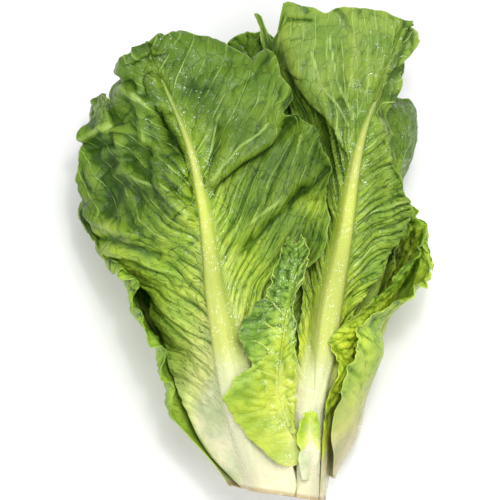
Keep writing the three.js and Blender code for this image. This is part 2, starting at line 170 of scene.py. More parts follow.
def head_radius(angle, y):
    """Distance from the axis to the head's outside, for an angle from +X towards +Z."""
    across = np.cos(angle)
    up = np.sin(angle)
    along = y / HEAD_LENGTH
    width = curve(HALF_WIDTH, along)
    height = np.where(up > 0, curve(TOP_HEIGHT, along), curve(BOTTOM_DEPTH, along))
    power = 2 + FLAT_BELOW * smooth(-2 * up)
    return (np.abs(across / width) ** power + np.abs(up / height) ** power) ** (-1 / power)


def windows(grid, reach, axis, wraps):
    """Every cell's neighbours along one axis of a grid, whose rows may close to a ring."""
    margins = ((0, 0), (reach, reach)) if axis == 1 else ((reach, reach), (0, 0))
    padded = np.pad(grid, margins, mode="wrap" if wraps and axis == 1 else "edge")
    return np.lib.stride_tricks.sliding_window_view(padded, 2 * reach + 1, axis=axis)


def blurred(grid, reach, wraps):
    for _ in range(BLUR_PASSES):
        for axis in (1, 0):
            grid = windows(grid, reach, axis, wraps).mean(-1)
    return grid


class Layers:
    """What is laid on so far, as a share of the head's radius, by angle and height."""

    def __init__(self):
        y = HEAD_LENGTH * (np.arange(HEIGHT_CELLS + 1) / HEIGHT_CELLS) ** HEIGHT_POWER
        stem = np.where(y < STEM_LENGTH, curve(STEM_RADIUS, y / STEM_LENGTH), 0)
        angle = 2 * math.pi * np.arange(ANGLE_CELLS) / ANGLE_CELLS
        self.share = stem[:, None] / head_radius(angle[None, :], y[:, None])
        self.shell = self.share

    def cell(self, x, y, z):
        """The cell that a place is in, and the place itself in cells, by angle and by height."""
        turn = np.arctan2(z, x - axis_x(y)) / (2 * math.pi)
        a = (turn - np.floor(turn)) * ANGLE_CELLS
        h = np.clip(y / HEAD_LENGTH, 0, 1) ** (1 / HEIGHT_POWER) * HEIGHT_CELLS
        i, j = np.floor(a).astype(int), np.floor(h).astype(int)
        return i, j, a, h

    def mark(self, points):
        x, y, z = points.reshape(-1, 3).T
        across = x - axis_x(y)
        share = np.hypot(across, z) / head_radius(np.arctan2(z, across), y)
        i, j, _, _ = self.cell(x, y, z)
        for m in (0, 1):
            for n in (0, 1):
                place = (np.minimum(j + n, HEIGHT_CELLS), (i + m) % ANGLE_CELLS)
                np.maximum.at(self.share, place, share)

    def settle(self, spread):
        """Spreads what is laid on sideways and rounds its steps off, so that a leaf drapes over it."""
        shell = self.share
        for axis in (1, 0):
            shell = windows(shell, spread, axis, wraps=True).max(-1)
        self.shell = blurred(shell, BLUR_CELLS, wraps=True)

    def reach(self, x, y, z):
        i, j, a, h = self.cell(x, y, z)
        j = np.minimum(j, HEIGHT_CELLS - 1)

        share = between(lambda m, n: self.shell[j + n, (i + m) % ANGLE_CELLS], a - i, h - j)
        return share * head_radius(np.arctan2(z, x - axis_x(y)), y)


layers = Layers()

# ---- the large shapes that a leaf can have, before it is pushed clear of what lies below it ----


def wrapped(spec, u, v):
    """A leaf that wraps round the head, as a part of a layer of it."""
    side = np.abs(v)
    lift = 0.05 * np.sin(math.pi * u) * side
    shoulder = 0.2 * u**3 * side**2.4
    y = spec["base"] + (spec["tip"] - spec["base"]) * (u + lift - shoulder)
    half = by_half(v < 0, (spec["left"], spec["right"]), u)
    share = curve(spec["layer"], u) + spec.get("flare", 0) * u * side * side
    turn = np.radians(curve(spec["angle"], u))
    for _ in range(TURN_STEPS):
        r = head_radius(turn, y) * share
        ahead = head_radius(turn + SMALL_TURN, y) * share
        speed = np.hypot(r, (ahead - r) / SMALL_TURN)
        turn = turn - np.sign(v) * side * half / TURN_STEPS / speed
    r = head_radius(turn, y) * share
    return axis_x(y) + r * np.cos(turn), y, r * np.sin(turn)


def laid_out(spec, u, v):
    """A leaf given by its midrib and its two edges, with each half arched outwards between them.

    Past its crest line the left half can turn down by the drop.
    """
    side = (np.hypot(v, RIB_ROUNDING) - RIB_ROUNDING) / SIDE_LENGTH
    left = v < 0
    edge = np.where(left[..., None], curve(spec["left_edge"], u), curve(spec["right_edge"], u))
    point = mix(curve(spec["rib_line"], u), edge, side[..., None])
    bow = 4 * side * (1 - side)
    crown = spec.get("crown", (0, 0))
    rise = bow * np.where(left, crown[0], crown[1]) * u**6
    bulge = bow / 2 * by_half(left, spec["arch"], u)
    if "drop" in spec:
        crest = curve(spec["crest"], u)
        slope = np.clip(PAST_CREST - crest, 0.01, WIDEST_SLOPE)
        bulge = bulge - smooth((side - crest) / slope) * np.where(left, curve(spec["drop"], u), 0)
    return point[..., 0], point[..., 1] + rise, point[..., 2] + bulge


def waving(spec, u, v):
    """How far a leaf's margins stand out in waves."""
    phase = spec["phase"]
    edge = np.maximum(np.abs(v) ** 2.6, smooth((u - 0.82) / 0.18)) * smooth((u - 0.12) / 0.3)
    beat = 2 * math.pi * (spec.get("waves", 5) * u + 2.2 * v * u**4)
    beat = beat + np.where(v < 0, phase, 1.9) + 0.4 * phase
    return spec.get("wave", 3) * edge * (0.5 + 0.5 * np.sin(beat))


def inner_face(spec, u, v):
    """A leaf's inner face, pushed clear of what is laid on, with waves towards the edges."""
    x, y, z = (laid_out if "rib_line" in spec else wrapped)(spec, u, v)
    cx = axis_x(y)
    rises = spec.get("rises", False)
    soft = 0.3 + y / 120
    for _ in range(RISE_STEPS if rises else 0):
        clear = layers.reach(x, y, z) + clearance(y)
        needed = np.sqrt(np.maximum(clear * clear - (x - cx) ** 2, 0))
        z = mix(z, larger_of(z, needed, soft), 0.6)
    r = np.hypot(x - cx, z)
    clear = layers.reach(x, y, z) + clearance(y)
    curl = spec["curl"](u, v) if "curl" in spec else 0
    out = larger_of(r, clear, 0.1 if rises else soft) + waving(spec, u, v) + curl
    return np.stack([cx + (x - cx) * out / r, y, z * out / r], axis=-1)


def coarse_leaf(spec):
    """A leaf's inner and outer faces on its coarse grid, as laid on the head and on its layers."""
    rows, columns = spec["rows"], spec["columns"]
    layers.settle(spec.get("spread", SPREAD_CELLS))
    step = np.arange(-columns, columns + 1) / columns
    u = np.repeat(np.arange(rows + 1)[:, None] / rows, 2 * columns + 1, axis=1)
    v = np.repeat((np.sign(step) * np.abs(step) ** EDGE_POWER)[None, :], rows + 1, axis=0)
    inner = inner_face(spec, u, v)
    floor = -np.inf
    if "lies" in spec:  # a leaf that the head lies on is pressed flat against the ground
        first, last = spec["lies"]
        lowest = inner[..., 2].min()
        floor = lowest - BLADE
        y = inner[..., 1]
        along = smooth((y - first) / 40) * smooth((last - y) / 40)
        flat = along * (1 - smooth((np.abs(v) - 0.5) / 0.5))
        inner[..., 2] = mix(inner[..., 2], lowest, flat)
    normal = unit(np.cross(np.gradient(inner, axis=1), np.gradient(inner, axis=0)))
    outer = inner + normal * rib_and_blade(spec, u, v)[..., None]
    outer[0, :, 1] = inner[0, :, 1]
    outer[..., 2] = np.where(outer[..., 2] < floor + PRESSED, floor, outer[..., 2])
    for face in (inner, outer):
        layers.mark(denser(denser(face).swapaxes(0, 1)))
    return inner, outer


def denser(grid):
    """A grid with STAMP_STEPS times as many rows of cells, on straight lines."""
    last = len(grid) - 1
    rows = np.linspace(0, last, last * STAMP_STEPS + 1)
    i = np.minimum(rows.astype(int), last - 1)
    return mix(grid[i], grid[i + 1], (rows - i)[:, None, None])


def rib_and_blade(spec, u, v):
    """Thickness of a leaf in the solids."""
    s = np.abs(v) * by_half(v < 0, spec["half"], u) / (curve(RIB_HALF_WIDTH, u) * spec.get("scale", 1))
    return BLADE + spec.get("rib", 1) * curve(RIB_HEIGHT, u) * np.exp(-1.4 * s * s)


# ---- the leaves, from the heart outwards ----

HEART_LEAVES = 6
GOLDEN_ANGLE = 137.5  # from each leaf of the heart to the next, in degrees


def heart_leaf(n):
    """One of the small folded leaves of the heart, each a golden angle further round."""
    size = n / (HEART_LEAVES - 1)
    turn = 20 + GOLDEN_ANGLE * n
    half = [width * mix(0.75, 1.1, size) for width in (8, 14, 20, 26, 28, 22)]
    return {
        "base": mix(34, 12, size), "tip": mix(140, 215, size),
        "angle": [turn, turn + 4, turn + 8],
        "layer": [0.2, 0.2, mix(0.2, 0.36, size), mix(0.24, 0.4, size)],
        "left": half, "right": half, "half": (half, half), "flare": 0.05,
        "rows": 10, "columns": 4, "scale": 0.55, "rib": 0.5, "wave": 1.5, "waves": 4,
        "phase": n * 2.1,
    }


def wrapping_leaf(base, tip, angle, layer, left, right, **more):
    """A leaf that wraps round the head: where it begins and ends along it, and, from its base to its
    tip, the angle of its midrib, the layer it lies in and the widths of its two halves."""
    spec = {
        "base": base, "tip": tip, "angle": angle, "layer": layer, "left": left, "right": right,
        "half": (left, right), "rows": 18, "columns": 5,
    }
    return spec | more


BEHIND = {"scale": 0.8, "rib": 0.7, "wave": 2}
SIDE = {"scale": 0.9, "rib": 0.9, "wave": 3}

LEAVES = {f"heart_leaf_{n + 1}": heart_leaf(n) for n in range(HEART_LEAVES)}
LEAVES["leaf_behind_gap"] = wrapping_leaf(
    0, 263, [100, 96, 92, 88, 84, 81], [0.4, 0.4, 0.4, 0.4, 0.42, 0.5],
    [12, 22, 38, 46, 46, 34], [12, 22, 38, 46, 44, 30], phase=0.4, **BEHIND,
)
LEAVES["under_leaf_left"] = wrapping_leaf(
    0, 250, [235, 240, 244, 246, 246, 246], [0.4, 0.56, 0.74, 0.78, 0.8, 0.8],
    [12, 24, 42, 52, 52, 38], [12, 24, 42, 52, 52, 38], phase=2.6, **BEHIND,
)
LEAVES["back_leaf_left"] = wrapping_leaf(
    0, 227, [178, 176, 174, 172, 172, 172], [0.4, 0.56, 0.8, 0.92, 0.98, 0.98],
    [12, 26, 46, 58, 58, 42], [12, 26, 46, 54, 50, 36], phase=4.4, **BEHIND,
)
LEAVES["back_leaf_right"] = wrapping_leaf(
    0, 252, [15, 12, 10, 10, 12, 14], [0.4, 0.56, 0.8, 0.94, 1.04, 1.06],
    [12, 14, 14, 14, 16, 20], [12, 26, 44, 52, 50, 38], phase=1.2, **BEHIND,
)
LEAVES["front_leaf_right"] = {
    "rib_line": [
        [35.6, 0, 10], [34, 23, 20], [36.8, 52, 28], [40, 80, 34], [44, 109, 38], [50, 138, 41],
        [54.6, 164, 44], [58.6, 187, 46], [63.8, 207, 48], [73, 230, 49], [82, 250, 48], [88, 268, 46],
    ],
    "left_edge": [
        [25, 0, 14], [24.7, 23, 20], [23, 52, 22], [23.6, 80, 25], [27.6, 109, 30], [24, 135, 34],
        [22, 160, 36], [27, 190, 37], [22, 215, 37], [14, 240, 36], [6, 260, 34], [2, 274, 33],
    ],
    "right_edge": [
        [43, 0, 2], [47, 25, 6], [50, 52, 8], [52, 80, 9], [58, 104, 11], [70, 122, 12],
        [80, 139, 12], [86, 155, 13], [87, 168, 15], [82, 182, 22], [75, 196, 30], [73, 211, 38],
        [84, 234, 40], [97, 257, 38],
    ],
    "arch": ([0, 0, 0, 0, 4, 6], [0, 6, 12, 14, 10, 4]), "crown": (5, 4),
    "crest": [0.5, 0.5, 0.5, 0.45, 0.4, 0.22, 0.15, 0.12, 0.48, 0.78, 0.86, 0.82],
    "drop": [0, 0, 1, 2, 4, 8, 10, 10, 11, 13, 13, 9],
    "half": ([9, 13, 18, 32, 42, 80], [9, 15, 28, 44, 30, 20]),
    "rows": 22, "columns": 7, "phase": 0.2, "rises": True,
}
LEAVES["under_leaf_right"] = wrapping_leaf(
    0, 245, [310, 306, 302, 300, 300, 300], [0.5, 0.66, 0.8, 0.86, 0.88, 0.88],
    [12, 26, 44, 50, 48, 36], [12, 26, 46, 56, 54, 38], phase=3.3, scale=0.9, rib=0.7, wave=1.5,
)
LEAVES["front_leaf_left"] = {
    "rib_line": [
        [6, 0, 14], [0, 23, 26], [-8, 52, 37], [-13.8, 80.5, 42], [-18.4, 109, 45], [-23, 138, 48],
        [-27.6, 167, 49], [-34.5, 195.5, 49], [-43.7, 218.5, 46], [-53, 238.6, 42], [-58.7, 256, 40],
    ],
    "left_edge": [
        [-5.8, 0, 6], [-26, 20, 2], [-39, 52, -4], [-50, 80, -6], [-57.5, 109, -4], [-72, 135, 2],
        [-89, 158, 6], [-100, 178, 8], [-95, 207, 14], [-83, 227, 22], [-73.6, 244, 30],
    ],
    "right_edge": [
        [22, 0, 14], [22, 23, 24], [14, 52, 30], [23, 80, 33], [29, 109, 36], [39, 131, 40],
        [43, 158, 42], [43.7, 178, 42], [40, 198, 42], [33, 217, 41], [14, 234.6, 40],
        [0, 242.6, 38], [-20, 256, 36], [-40, 260.5, 36],
    ],
    "arch": ([0, 4, 10, 16, 16, 10], [0, 2, 6, 12, 14, 8]),
    "half": ([12, 20, 36, 60, 66, 40], [9, 18, 36, 62, 70, 40]),
    "rows": 24, "columns": 7, "waves": 6, "phase": 4.1, "rises": True,
}
LEAVES["inner_leaf_right"] = wrapping_leaf(
    0, 152, [-16, -10, -6, -6, -8, -8], [0.5, 0.7, 0.8, 0.87, 0.9, 0.93],
    [11, 20, 32, 42, 51, 51, 40, 30], [11, 22, 34, 38, 34, 24], phase=0.9, **SIDE,
)
LEAVES["outer_leaf_left"] = wrapping_leaf(
    0, 177, [206, 204, 202, 200, 198, 198], [0.6, 0.72, 1.02, 1.12, 1, 0.94],
    [12, 26, 40, 46, 40, 28], [10, 18, 42, 48, 42, 28], phase=2.2, **SIDE,
    curl=lambda u, v: 3 * smooth((v - 0.6) / 0.4) * smooth((u - 0.2) / 0.2),
)
LEAVES["outer_leaf_right"] = wrapping_leaf(
    13, 168, [-26, -26, -26, -26, -26, -26], [0.6, 0.8, 0.86, 0.88, 0.88, 0.86],
    [12, 42, 56, 62, 60, 48, 40, 32], [9, 18, 32, 40, 36, 26], phase=5.2, **SIDE,
    curl=lambda u, v: 5 * smooth((-v - 0.45) / 0.55) * smooth((u - 0.5) / 0.2),
)
LEAVES["bottom_leaf"] = wrapping_leaf(
    0, 252, [268, 268, 268, 268, 268, 268], [0.7, 0.9, 1, 1, 1, 1],
    [12, 28, 46, 58, 58, 42], [12, 28, 46, 58, 58, 42], phase=0, scale=0.9, rib=0.6, wave=0,
    lies=(36, 245), rows=22,
)
LEAVES["small_leaf"] = {
    "rib_line": [
        [30.5, 10, 30], [20, 40, 30], [15.5, 63, 30], [18.4, 92, 30], [23, 121, 30], [24, 141, 30],
    ],
    "left_edge": [
        [24, 10, 30], [8, 22, 30], [-5, 38, 30], [-12.5, 51, 30], [-8, 65, 30], [-1, 76, 30],
        [-5, 91, 30], [3, 108, 30], [10, 123, 30], [16, 138, 30], [20, 148, 30],
    ],
    "right_edge": [
        [31, 10, 30], [27.5, 22, 30], [25.8, 36, 30], [24.5, 50, 30], [25.5, 62, 30], [25, 83, 30],
        [25.8, 100, 30], [26.4, 115, 30], [31, 130, 30], [33, 138, 30], [28, 148, 30],
    ],
    "arch": ([0, 2, 3, 3, 2, 0], [0, 1, 2, 2, 1, 0]),
    "half": ([3, 10, 22, 22, 16, 6], [2, 5, 10, 10, 8, 6]),
    "rows": 18, "columns": 4, "scale": 0.35, "rib": 0.35, "waves": 6, "phase": 1.2,
    "rises": True, "spread": 3,
}
LEAVES["shoot"] = {
    "rib_line": [[33.5, 6, 20], [38, 23, 20], [38.5, 38, 20], [38, 47, 20]],
    "left_edge": [[32, 7, 20], [35.5, 23, 20], [33.5, 37, 20], [35, 46, 20]],
    "right_edge": [[35.5, 5, 20], [40.5, 22, 20], [43, 36, 20], [41, 46, 20]],
    "arch": ([0, 0, 0], [0, 0, 0]),
    "half": ([2, 3, 5, 3], [2, 3, 5, 3]),
    "rows": 10, "columns": 3, "scale": 0.25, "rib": 0.4, "wave": 0.5, "phase": 1.2,
    "rises": True, "spread": 3,
}

# ---- fine relief ----


def drift(x, y, seed):
    """Smooth noise from -1 to 1 whose bumps are about one unit across."""
    table = np.random.default_rng(seed).uniform(-1, 1, (NOISE_CELLS, NOISE_CELLS))
    i, j = np.floor(x).astype(int), np.floor(y).astype(int)
    f, g = smooth(x - i), smooth(y - j)
    return between(lambda m, n: table[(i + m) % NOISE_CELLS, (j + n) % NOISE_CELLS], f, g)


def rough(x, y, seed):
    """The same in two sizes."""
    return 0.7 * drift(x, y, seed) + 0.3 * drift(2.3 * x, 2.3 * y, seed + 1)


def gathered(x, y, seed):
    """Noise with round crests and narrow creases, as in a sheet that is gathered."""
    return 1.7 * np.abs(drift(x, y, seed)) ** 0.75 - 0.8


def directions(sheet):
    """Unit vectors across, along and out of a sheet of points."""
    across, upward = unit(np.gradient(sheet, axis=1)), unit(np.gradient(sheet, axis=0))
    return across, upward, unit(np.cross(across, upward))


def lengths(sheet, axis):
    """Length along a sheet's rows (axis 1) or columns (axis 0), from its first point."""
    step = np.linalg.norm(np.diff(sheet, axis=axis), axis=-1)
    return np.insert(np.cumsum(step, axis=axis), 0, 0, axis=axis)


def beside_line(places, line):
    """How far places in plan are from a line of points, whether they are left of it, and its left."""
    line = np.asarray(line, float)
    nearest = np.full(places.shape[:2], np.inf)
    on_left = np.zeros(nearest.shape, bool)
    towards_left = np.zeros(places.shape)
    for first, last in zip(line[:-1], line[1:]):
        way = last - first
        share = np.clip((places - first) @ way / (way @ way), 0, 1)
        offset = places - first - share[..., None] * way
        gap = np.linalg.norm(offset, axis=-1)
        closer = gap < nearest
        nearest = np.where(closer, gap, nearest)
        on_left = np.where(closer, offset[..., 1] * way[0] > offset[..., 0] * way[1], on_left)
        beside = np.array([-way[1], way[0]]) / math.hypot(*way)
        towards_left = np.where(closer[..., None], beside, towards_left)
    return nearest, on_left, towards_left


def folded(sheet, folds):
    """Height of the crests and hollows that run along lines drawn in plan.

    A fold is its line of points, its height, and how far it reaches to the left and to the right of
    the line, as one goes along it: a short reach is a steep side. A crest leans over its steep side.
    Gives the height, and how far it leans in plan.
    """
    total = np.zeros(sheet.shape[:2])
    lean = np.zeros(sheet.shape)
    for line, height, left_reach, right_reach in folds:
        gap, on_left, towards_left = beside_line(sheet[..., :2], line)
        rise = height * bell(gap / np.where(on_left, left_reach, right_reach))
        total = total + rise
        evenness = (right_reach - left_reach) / (right_reach + left_reach)
        lean[..., :2] += (LEAN * evenness * rise)[..., None] * towards_left
    return total, lean


def pale_lines(sheet, lines):
    """1 on the pale lines drawn in plan, falling to 0 beside them."""
    marks = np.zeros(sheet.shape[:2])
    for line in lines:
        marks = np.maximum(marks, bell(beside_line(sheet[..., :2], line)[0] / PALE_WIDTH))
    return marks


def shaded(sheet, shades):
    """The sum of soft patches of painted shade, painted light where negative, each with its place in plan,
    its reach and how dark it is.
    """
    total = np.zeros(sheet.shape[:2])
    for x, y, reach_x, reach_y, dark in shades:
        off_x, off_y = (sheet[..., 0] - x) / reach_x, (sheet[..., 1] - y) / reach_y
        total += dark * np.exp(-(off_x**2) - off_y**2)
    return total


def pulled(sheet, pulls):
    """Draws a sheet sideways: each pull has its place in plan, how far it draws, and its width."""
    for x, y, pull_x, pull_y, width in pulls:
        far = math.hypot(pull_x, pull_y)
        offset = sheet[..., :2] - (x, y)
        along = (offset[..., 0] * pull_x + offset[..., 1] * pull_y) / far
        beside = (offset[..., 0] * pull_y - offset[..., 1] * pull_x) / far
        share = np.exp(-((beside / width) ** 2) - (along / (PULL_REACH * far + width)) ** 2)
        sheet = sheet + share[..., None] * np.array([pull_x, pull_y, 0])
    return sheet


class Places:
    """Where the points of a fine sheet are on their leaf, in millimetres, and as shares u and v."""

    def __init__(self, sheet, u, v, length):
        middle = sheet.shape[1] // 2
        over = lengths(sheet, 1)
        self.u, self.v = u, v
        self.left = v < 0
        self.side = over - over[:, middle : middle + 1]  # from the midrib, with the left below 0
        self.distance = np.abs(self.side)
        self.inward = np.where(self.left, -self.side[:, :1], self.side[:, -1:]) - self.distance
        self.tip = length * (1 - u)
        self.border = np.minimum(self.inward, self.tip * 0.8 + 0.1)  # how far the margin is
        self.along = np.repeat(lengths(sheet, 0)[:, middle][:, None], sheet.shape[1], axis=1)


def fine_sheet(inner, cell):
    """A leaf's inner face as a fine sheet, and where its points are."""
    length = lengths(inner, 0)[-1].max()
    rows = int(math.ceil(length / cell))
    columns = 2 * int(math.ceil(lengths(inner, 1)[:, -1].max() / cell / 2))
    height = np.linspace(0, 1, rows + 1)
    step = np.linspace(-1, 1, columns + 1)
    sheet = curve(curve(inner, height).swapaxes(0, 1), (step + 1) / 2).swapaxes(0, 1)
    u = np.repeat(height[:, None], columns + 1, axis=1)
    v = np.repeat((np.sign(step) * np.abs(step) ** EDGE_POWER)[None, :], rows + 1, axis=0)
    return sheet, Places(sheet, u, v, length)


def outlined(sheet, at, look, leafy, seed):
    """The sheet with the lobes and the small teeth of its margin, widened and drawn to its outline."""

    def notches(place, other, lobe_seed, tooth_seed):
        lobes = look["lobes"] * rough(place / LOBE_SIZE, other, lobe_seed)
        return lobes + look["teeth"] * rough(place / TOOTH_SIZE, other, tooth_seed)

    across, upward, _ = directions(sheet)
    out = notches(at.along, at.v, seed, seed + 2) * bell(at.inward / MARGIN_REACH)
    sheet = sheet + across * (np.sign(at.side) * out * leafy)[..., None]
    out = notches(at.side, at.u, seed + 3, seed + 4) * bell(at.tip / MARGIN_REACH)
    sheet = sheet + upward * (out * leafy)[..., None]
    sheet = sheet + across * (at.side * curve(look["widen"], at.u))[..., None]
    return pulled(sheet, look["pulls"])


def vein_levels(at, look, seed):
    """How far up the midrib each point's lateral vein leaves it, and a phase, whole at a vein."""
    turn_up, turn_within = look["sweep"]
    slope = by_half(at.left, look["slopes"], at.u)
    sweep = turn_up * (1 - np.exp(-at.distance / turn_within)) + slope * at.distance
    warp = look["warp"] * rough(at.side / 26 + 0.3 * np.sign(at.side), at.along / 26, seed + 5)
    level = at.along - sweep + warp
    return level, level / look["spacing"] + np.where(at.left, 0.5, 0)


def pleats(at, look, level, seed):
    """Long pleats along the veins, in two sizes."""
    shift = 9.7 * np.sign(at.side)  # so that the two halves differ
    long, wide = look["pleat_size"]
    large = gathered(level / wide, at.distance / long + shift, seed + 6) * 0.7
    return large + gathered(level / (wide * 0.5), at.distance / (long * 0.7) + shift, seed + 7) * 0.4


def ruffles(at, look, seed):
    """Waves of the margin that fade inwards."""
    beat = at.along / look["ruffle_size"] + at.side / 9
    swing = 0.6 + 1.2 * rough(beat, at.v * 1.5 + at.side / 40, seed + 10)
    return look["ruffle"] * np.exp(-at.border / look["ruffle_reach"]) * swing


def midrib(at, spec, look, half_rib):
    """How high the midrib is at each point, and how far the point looks like it, from 0 to 1."""
    crest = curve(look["rib_crest"], at.u)
    off_crest = at.side / half_rib - crest
    flank = np.where(off_crest * crest > 0, 1 - np.abs(crest), 1 + np.abs(crest))
    round_top = np.exp(-(np.abs(off_crest / flank) ** 2) * RIB_FADING)
    rise = spec.get("rib", 1) * look["rib_rise"] * curve(RIB_HEIGHT, at.u) * round_top
    fade = np.where(at.left, look["rib_fades"][0], look["rib_fades"][1])
    ribness = look["rib_pale"] * np.exp(-((at.distance / half_rib) ** fade) * RIB_FADING)
    return rise, ribness * (1 - smooth((at.u - 0.8) / 0.15))


def fine_leaf(spec, look, inner, ground, seed):
    """The inner face of a leaf as a fine sheet, with its folds, and what its finish reads."""
    sheet, at = fine_sheet(inner, FINE_HIDDEN if look["hidden"] else FINE)
    leafy = smooth((at.u - look["stalk"]) / 0.2)  # the stalk has no folds
    sheet = outlined(sheet, at, look, leafy, seed)
    level, phase = vein_levels(at, look, seed)
    half_rib = curve(RIB_LOOK, at.u) * spec.get("scale", 1) * look["rib_width"]
    off_rib = smooth((at.distance - 0.8 * half_rib) / (half_rib + 3))
    rib_rise, ribness = midrib(at, spec, look, half_rib)

    # The relief, from the long pleats to the ruffled margin.
    pleating = curve(look["pleat"], at.u) * mix(0.5, 1, np.exp(-at.distance / look["pleat_reach"]))
    broad, tall = look["crumple_size"]
    crumple = curve(look["crumple"], at.u) * gathered(at.side / broad, at.along / tall, seed + 8)
    bend = drift(at.side / 20, at.along / 20, seed)
    facets = gathered(at.side / 15 + bend, at.along / 13, seed + 11)
    crumple = crumple + by_half(at.left, look["panels"], at.u) * facets
    billow = look["billow"] * rough(at.side / 28, at.along / 34, seed + 9)
    crests, lean = folded(sheet, look["folds"])
    pale = pale_lines(sheet, look["lines"])
    relief = off_rib * leafy * (pleats(at, look, level, seed) * pleating + crumple + crests)
    relief = relief + leafy * (off_rib * billow + ruffles(at, look, seed))
    if look["hidden"]:
        relief = np.maximum(relief, DEEPEST_HIDDEN)
    if "lies" in spec:
        relief = relief * smooth((sheet[..., 2] - ground - 3) / 8)
    even = np.stack([blurred(sheet[..., k], 3, wraps=False) for k in range(3)], axis=-1)
    lift = directions(even)[2] * (relief + RIB_ABOVE * rib_rise)[..., None]
    sheet = sheet + lift + lean * (off_rib * leafy)[..., None]

    # The thickness, with the lateral veins raised.
    near = look["near"] * np.exp(-at.distance / 28)
    gap = 1 - np.abs(2 * (phase - np.floor(phase)) - 1)  # 0 at a vein, 1 half way to the next
    vein = bell(gap * look["spacing"] / 2 / VEIN_HALF_WIDTH) * off_rib * leafy
    thickness = mix(THIN, THICK, smooth(at.border / THIN_REACH)) + (1 - RIB_ABOVE) * rib_rise
    thickness = thickness + look["vein"] * vein * near
    sheet[..., 2] = larger_of(sheet[..., 2], ground + thickness, 0.2)

    # What the finish reads: the height that its colours are taken at, the hollows with their painted shade,
    # and the margin.
    ahead = by_half(at.left, look["ahead"], at.u) * smooth((at.distance - half_rib) / 14)
    # Painted light: patches that take the paler colours from lower down the leaf.
    height = sheet[..., 1] / HEAD_LENGTH + ahead - shaded(sheet, look["younger"])
    # Painted shade: where the relief lies below its smoothed self the colour is darker, with painted
    # highlight where it lies above.
    hollow = 0.5 + 0.5 * np.clip((blurred(relief, 2, wraps=False) - relief) / HOLLOW_DEPTH, -1, 1)
    # Painted shade and painted light from the patches, made crisper by the facets.
    hollow = np.clip(hollow + shaded(sheet, look["shades"]) * (1 - 0.6 * facets), 0, 1)
    edge = np.maximum(np.exp(-at.border), pale)
    fields = {
        "flow": (phase, at.side / 10, at.along / 10),
        "look": (ribness, edge, height),
        "tint_and_shade": (near, leafy * np.clip(pleating / 2, 0.1, 1), hollow),
    }
    return sheet, thickness, fields


def blade_piece(name, sheet, thickness, fields):
    """A closed blade: a grid with the sheet's places, thickened outwards."""
    rows, columns = sheet.shape[0] - 1, sheet.shape[1] - 1
    bpy.ops.object.select_all(action="DESELECT")
    bpy.ops.mesh.primitive_grid_add(x_subdivisions=columns, y_subdivisions=rows, size=1)
    piece = bpy.context.object
    piece.name = name
    mesh = piece.data
    mesh.name = name
    mesh.vertices.foreach_set("co", (sheet * MM).ravel())
    for field, values in fields.items():
        attribute = mesh.attributes.new(field, "FLOAT_VECTOR", "POINT")
        attribute.data.foreach_set("vector", np.stack(values, axis=-1).astype(np.float32).ravel())
    group = piece.vertex_groups.new(name="thickness")
    weights = np.clip(thickness / THICKEST, 0, 1).ravel().tolist()
    for index, weight in enumerate(weights):
        group.add([index], weight, "REPLACE")
    wall = piece.modifiers.new("wall", "SOLIDIFY")
    wall.thickness = THICKEST * MM
    wall.offset = 1
    wall.vertex_group = "thickness"
    wall.use_quality_normals = True
    bpy.ops.object.modifier_apply(modifier="wall")
    bpy.ops.object.shade_smooth()
    return piece


def slanted(places):
    """The same places after the slanting cut of the head's end."""
    x, y, z = places[..., 0], places[..., 1], places[..., 2]
    slant = CUT_SLOPE * (x - CUT_AT) * (1 - smooth(y / CUT_REACH))
    return np.stack([x, y + slant, z], axis=-1)


def narrowed(places):
    """The same places with the head drawn in at the right of its cut end."""
    x, y, z = places[..., 0], places[..., 1], places[..., 2]
    drawn = curve(NARROWING, y / NARROWING_REACH) * smooth((x - NARROWED[0]) / NARROWED[1])
    return np.stack([x - drawn, y, z], axis=-1)


def seated(piece, shift):
    """Cuts the head's end at its slant and puts the piece where the head stands."""
    mesh = piece.data
    places = np.empty(len(mesh.vertices) * 3, np.float32)
    mesh.vertices.foreach_get("co", places)
    places = (slanted(narrowed(places.reshape(-1, 3) / MM)) - shift) * MM
    mesh.vertices.foreach_set("co", places.astype(np.float32).ravel())
    mesh.update()


# ---- finishes ----


def linear(red, green, blue):
    """A colour given from 0 to 255 on screen, as light."""
    parts = [c / 255 for c in (red, green, blue)]
    light = [c / 12.92 if c <= 0.04045 else ((c + 0.055) / 1.055) ** 2.4 for c in parts]
    return (*light, 1)


def painted(stops):
    """The stops of a ramp, given by their places and their colours on screen."""
    return [(place, linear(*colour)) for place, colour in stops]


def grey(value):
    return (value, value, value, 1)


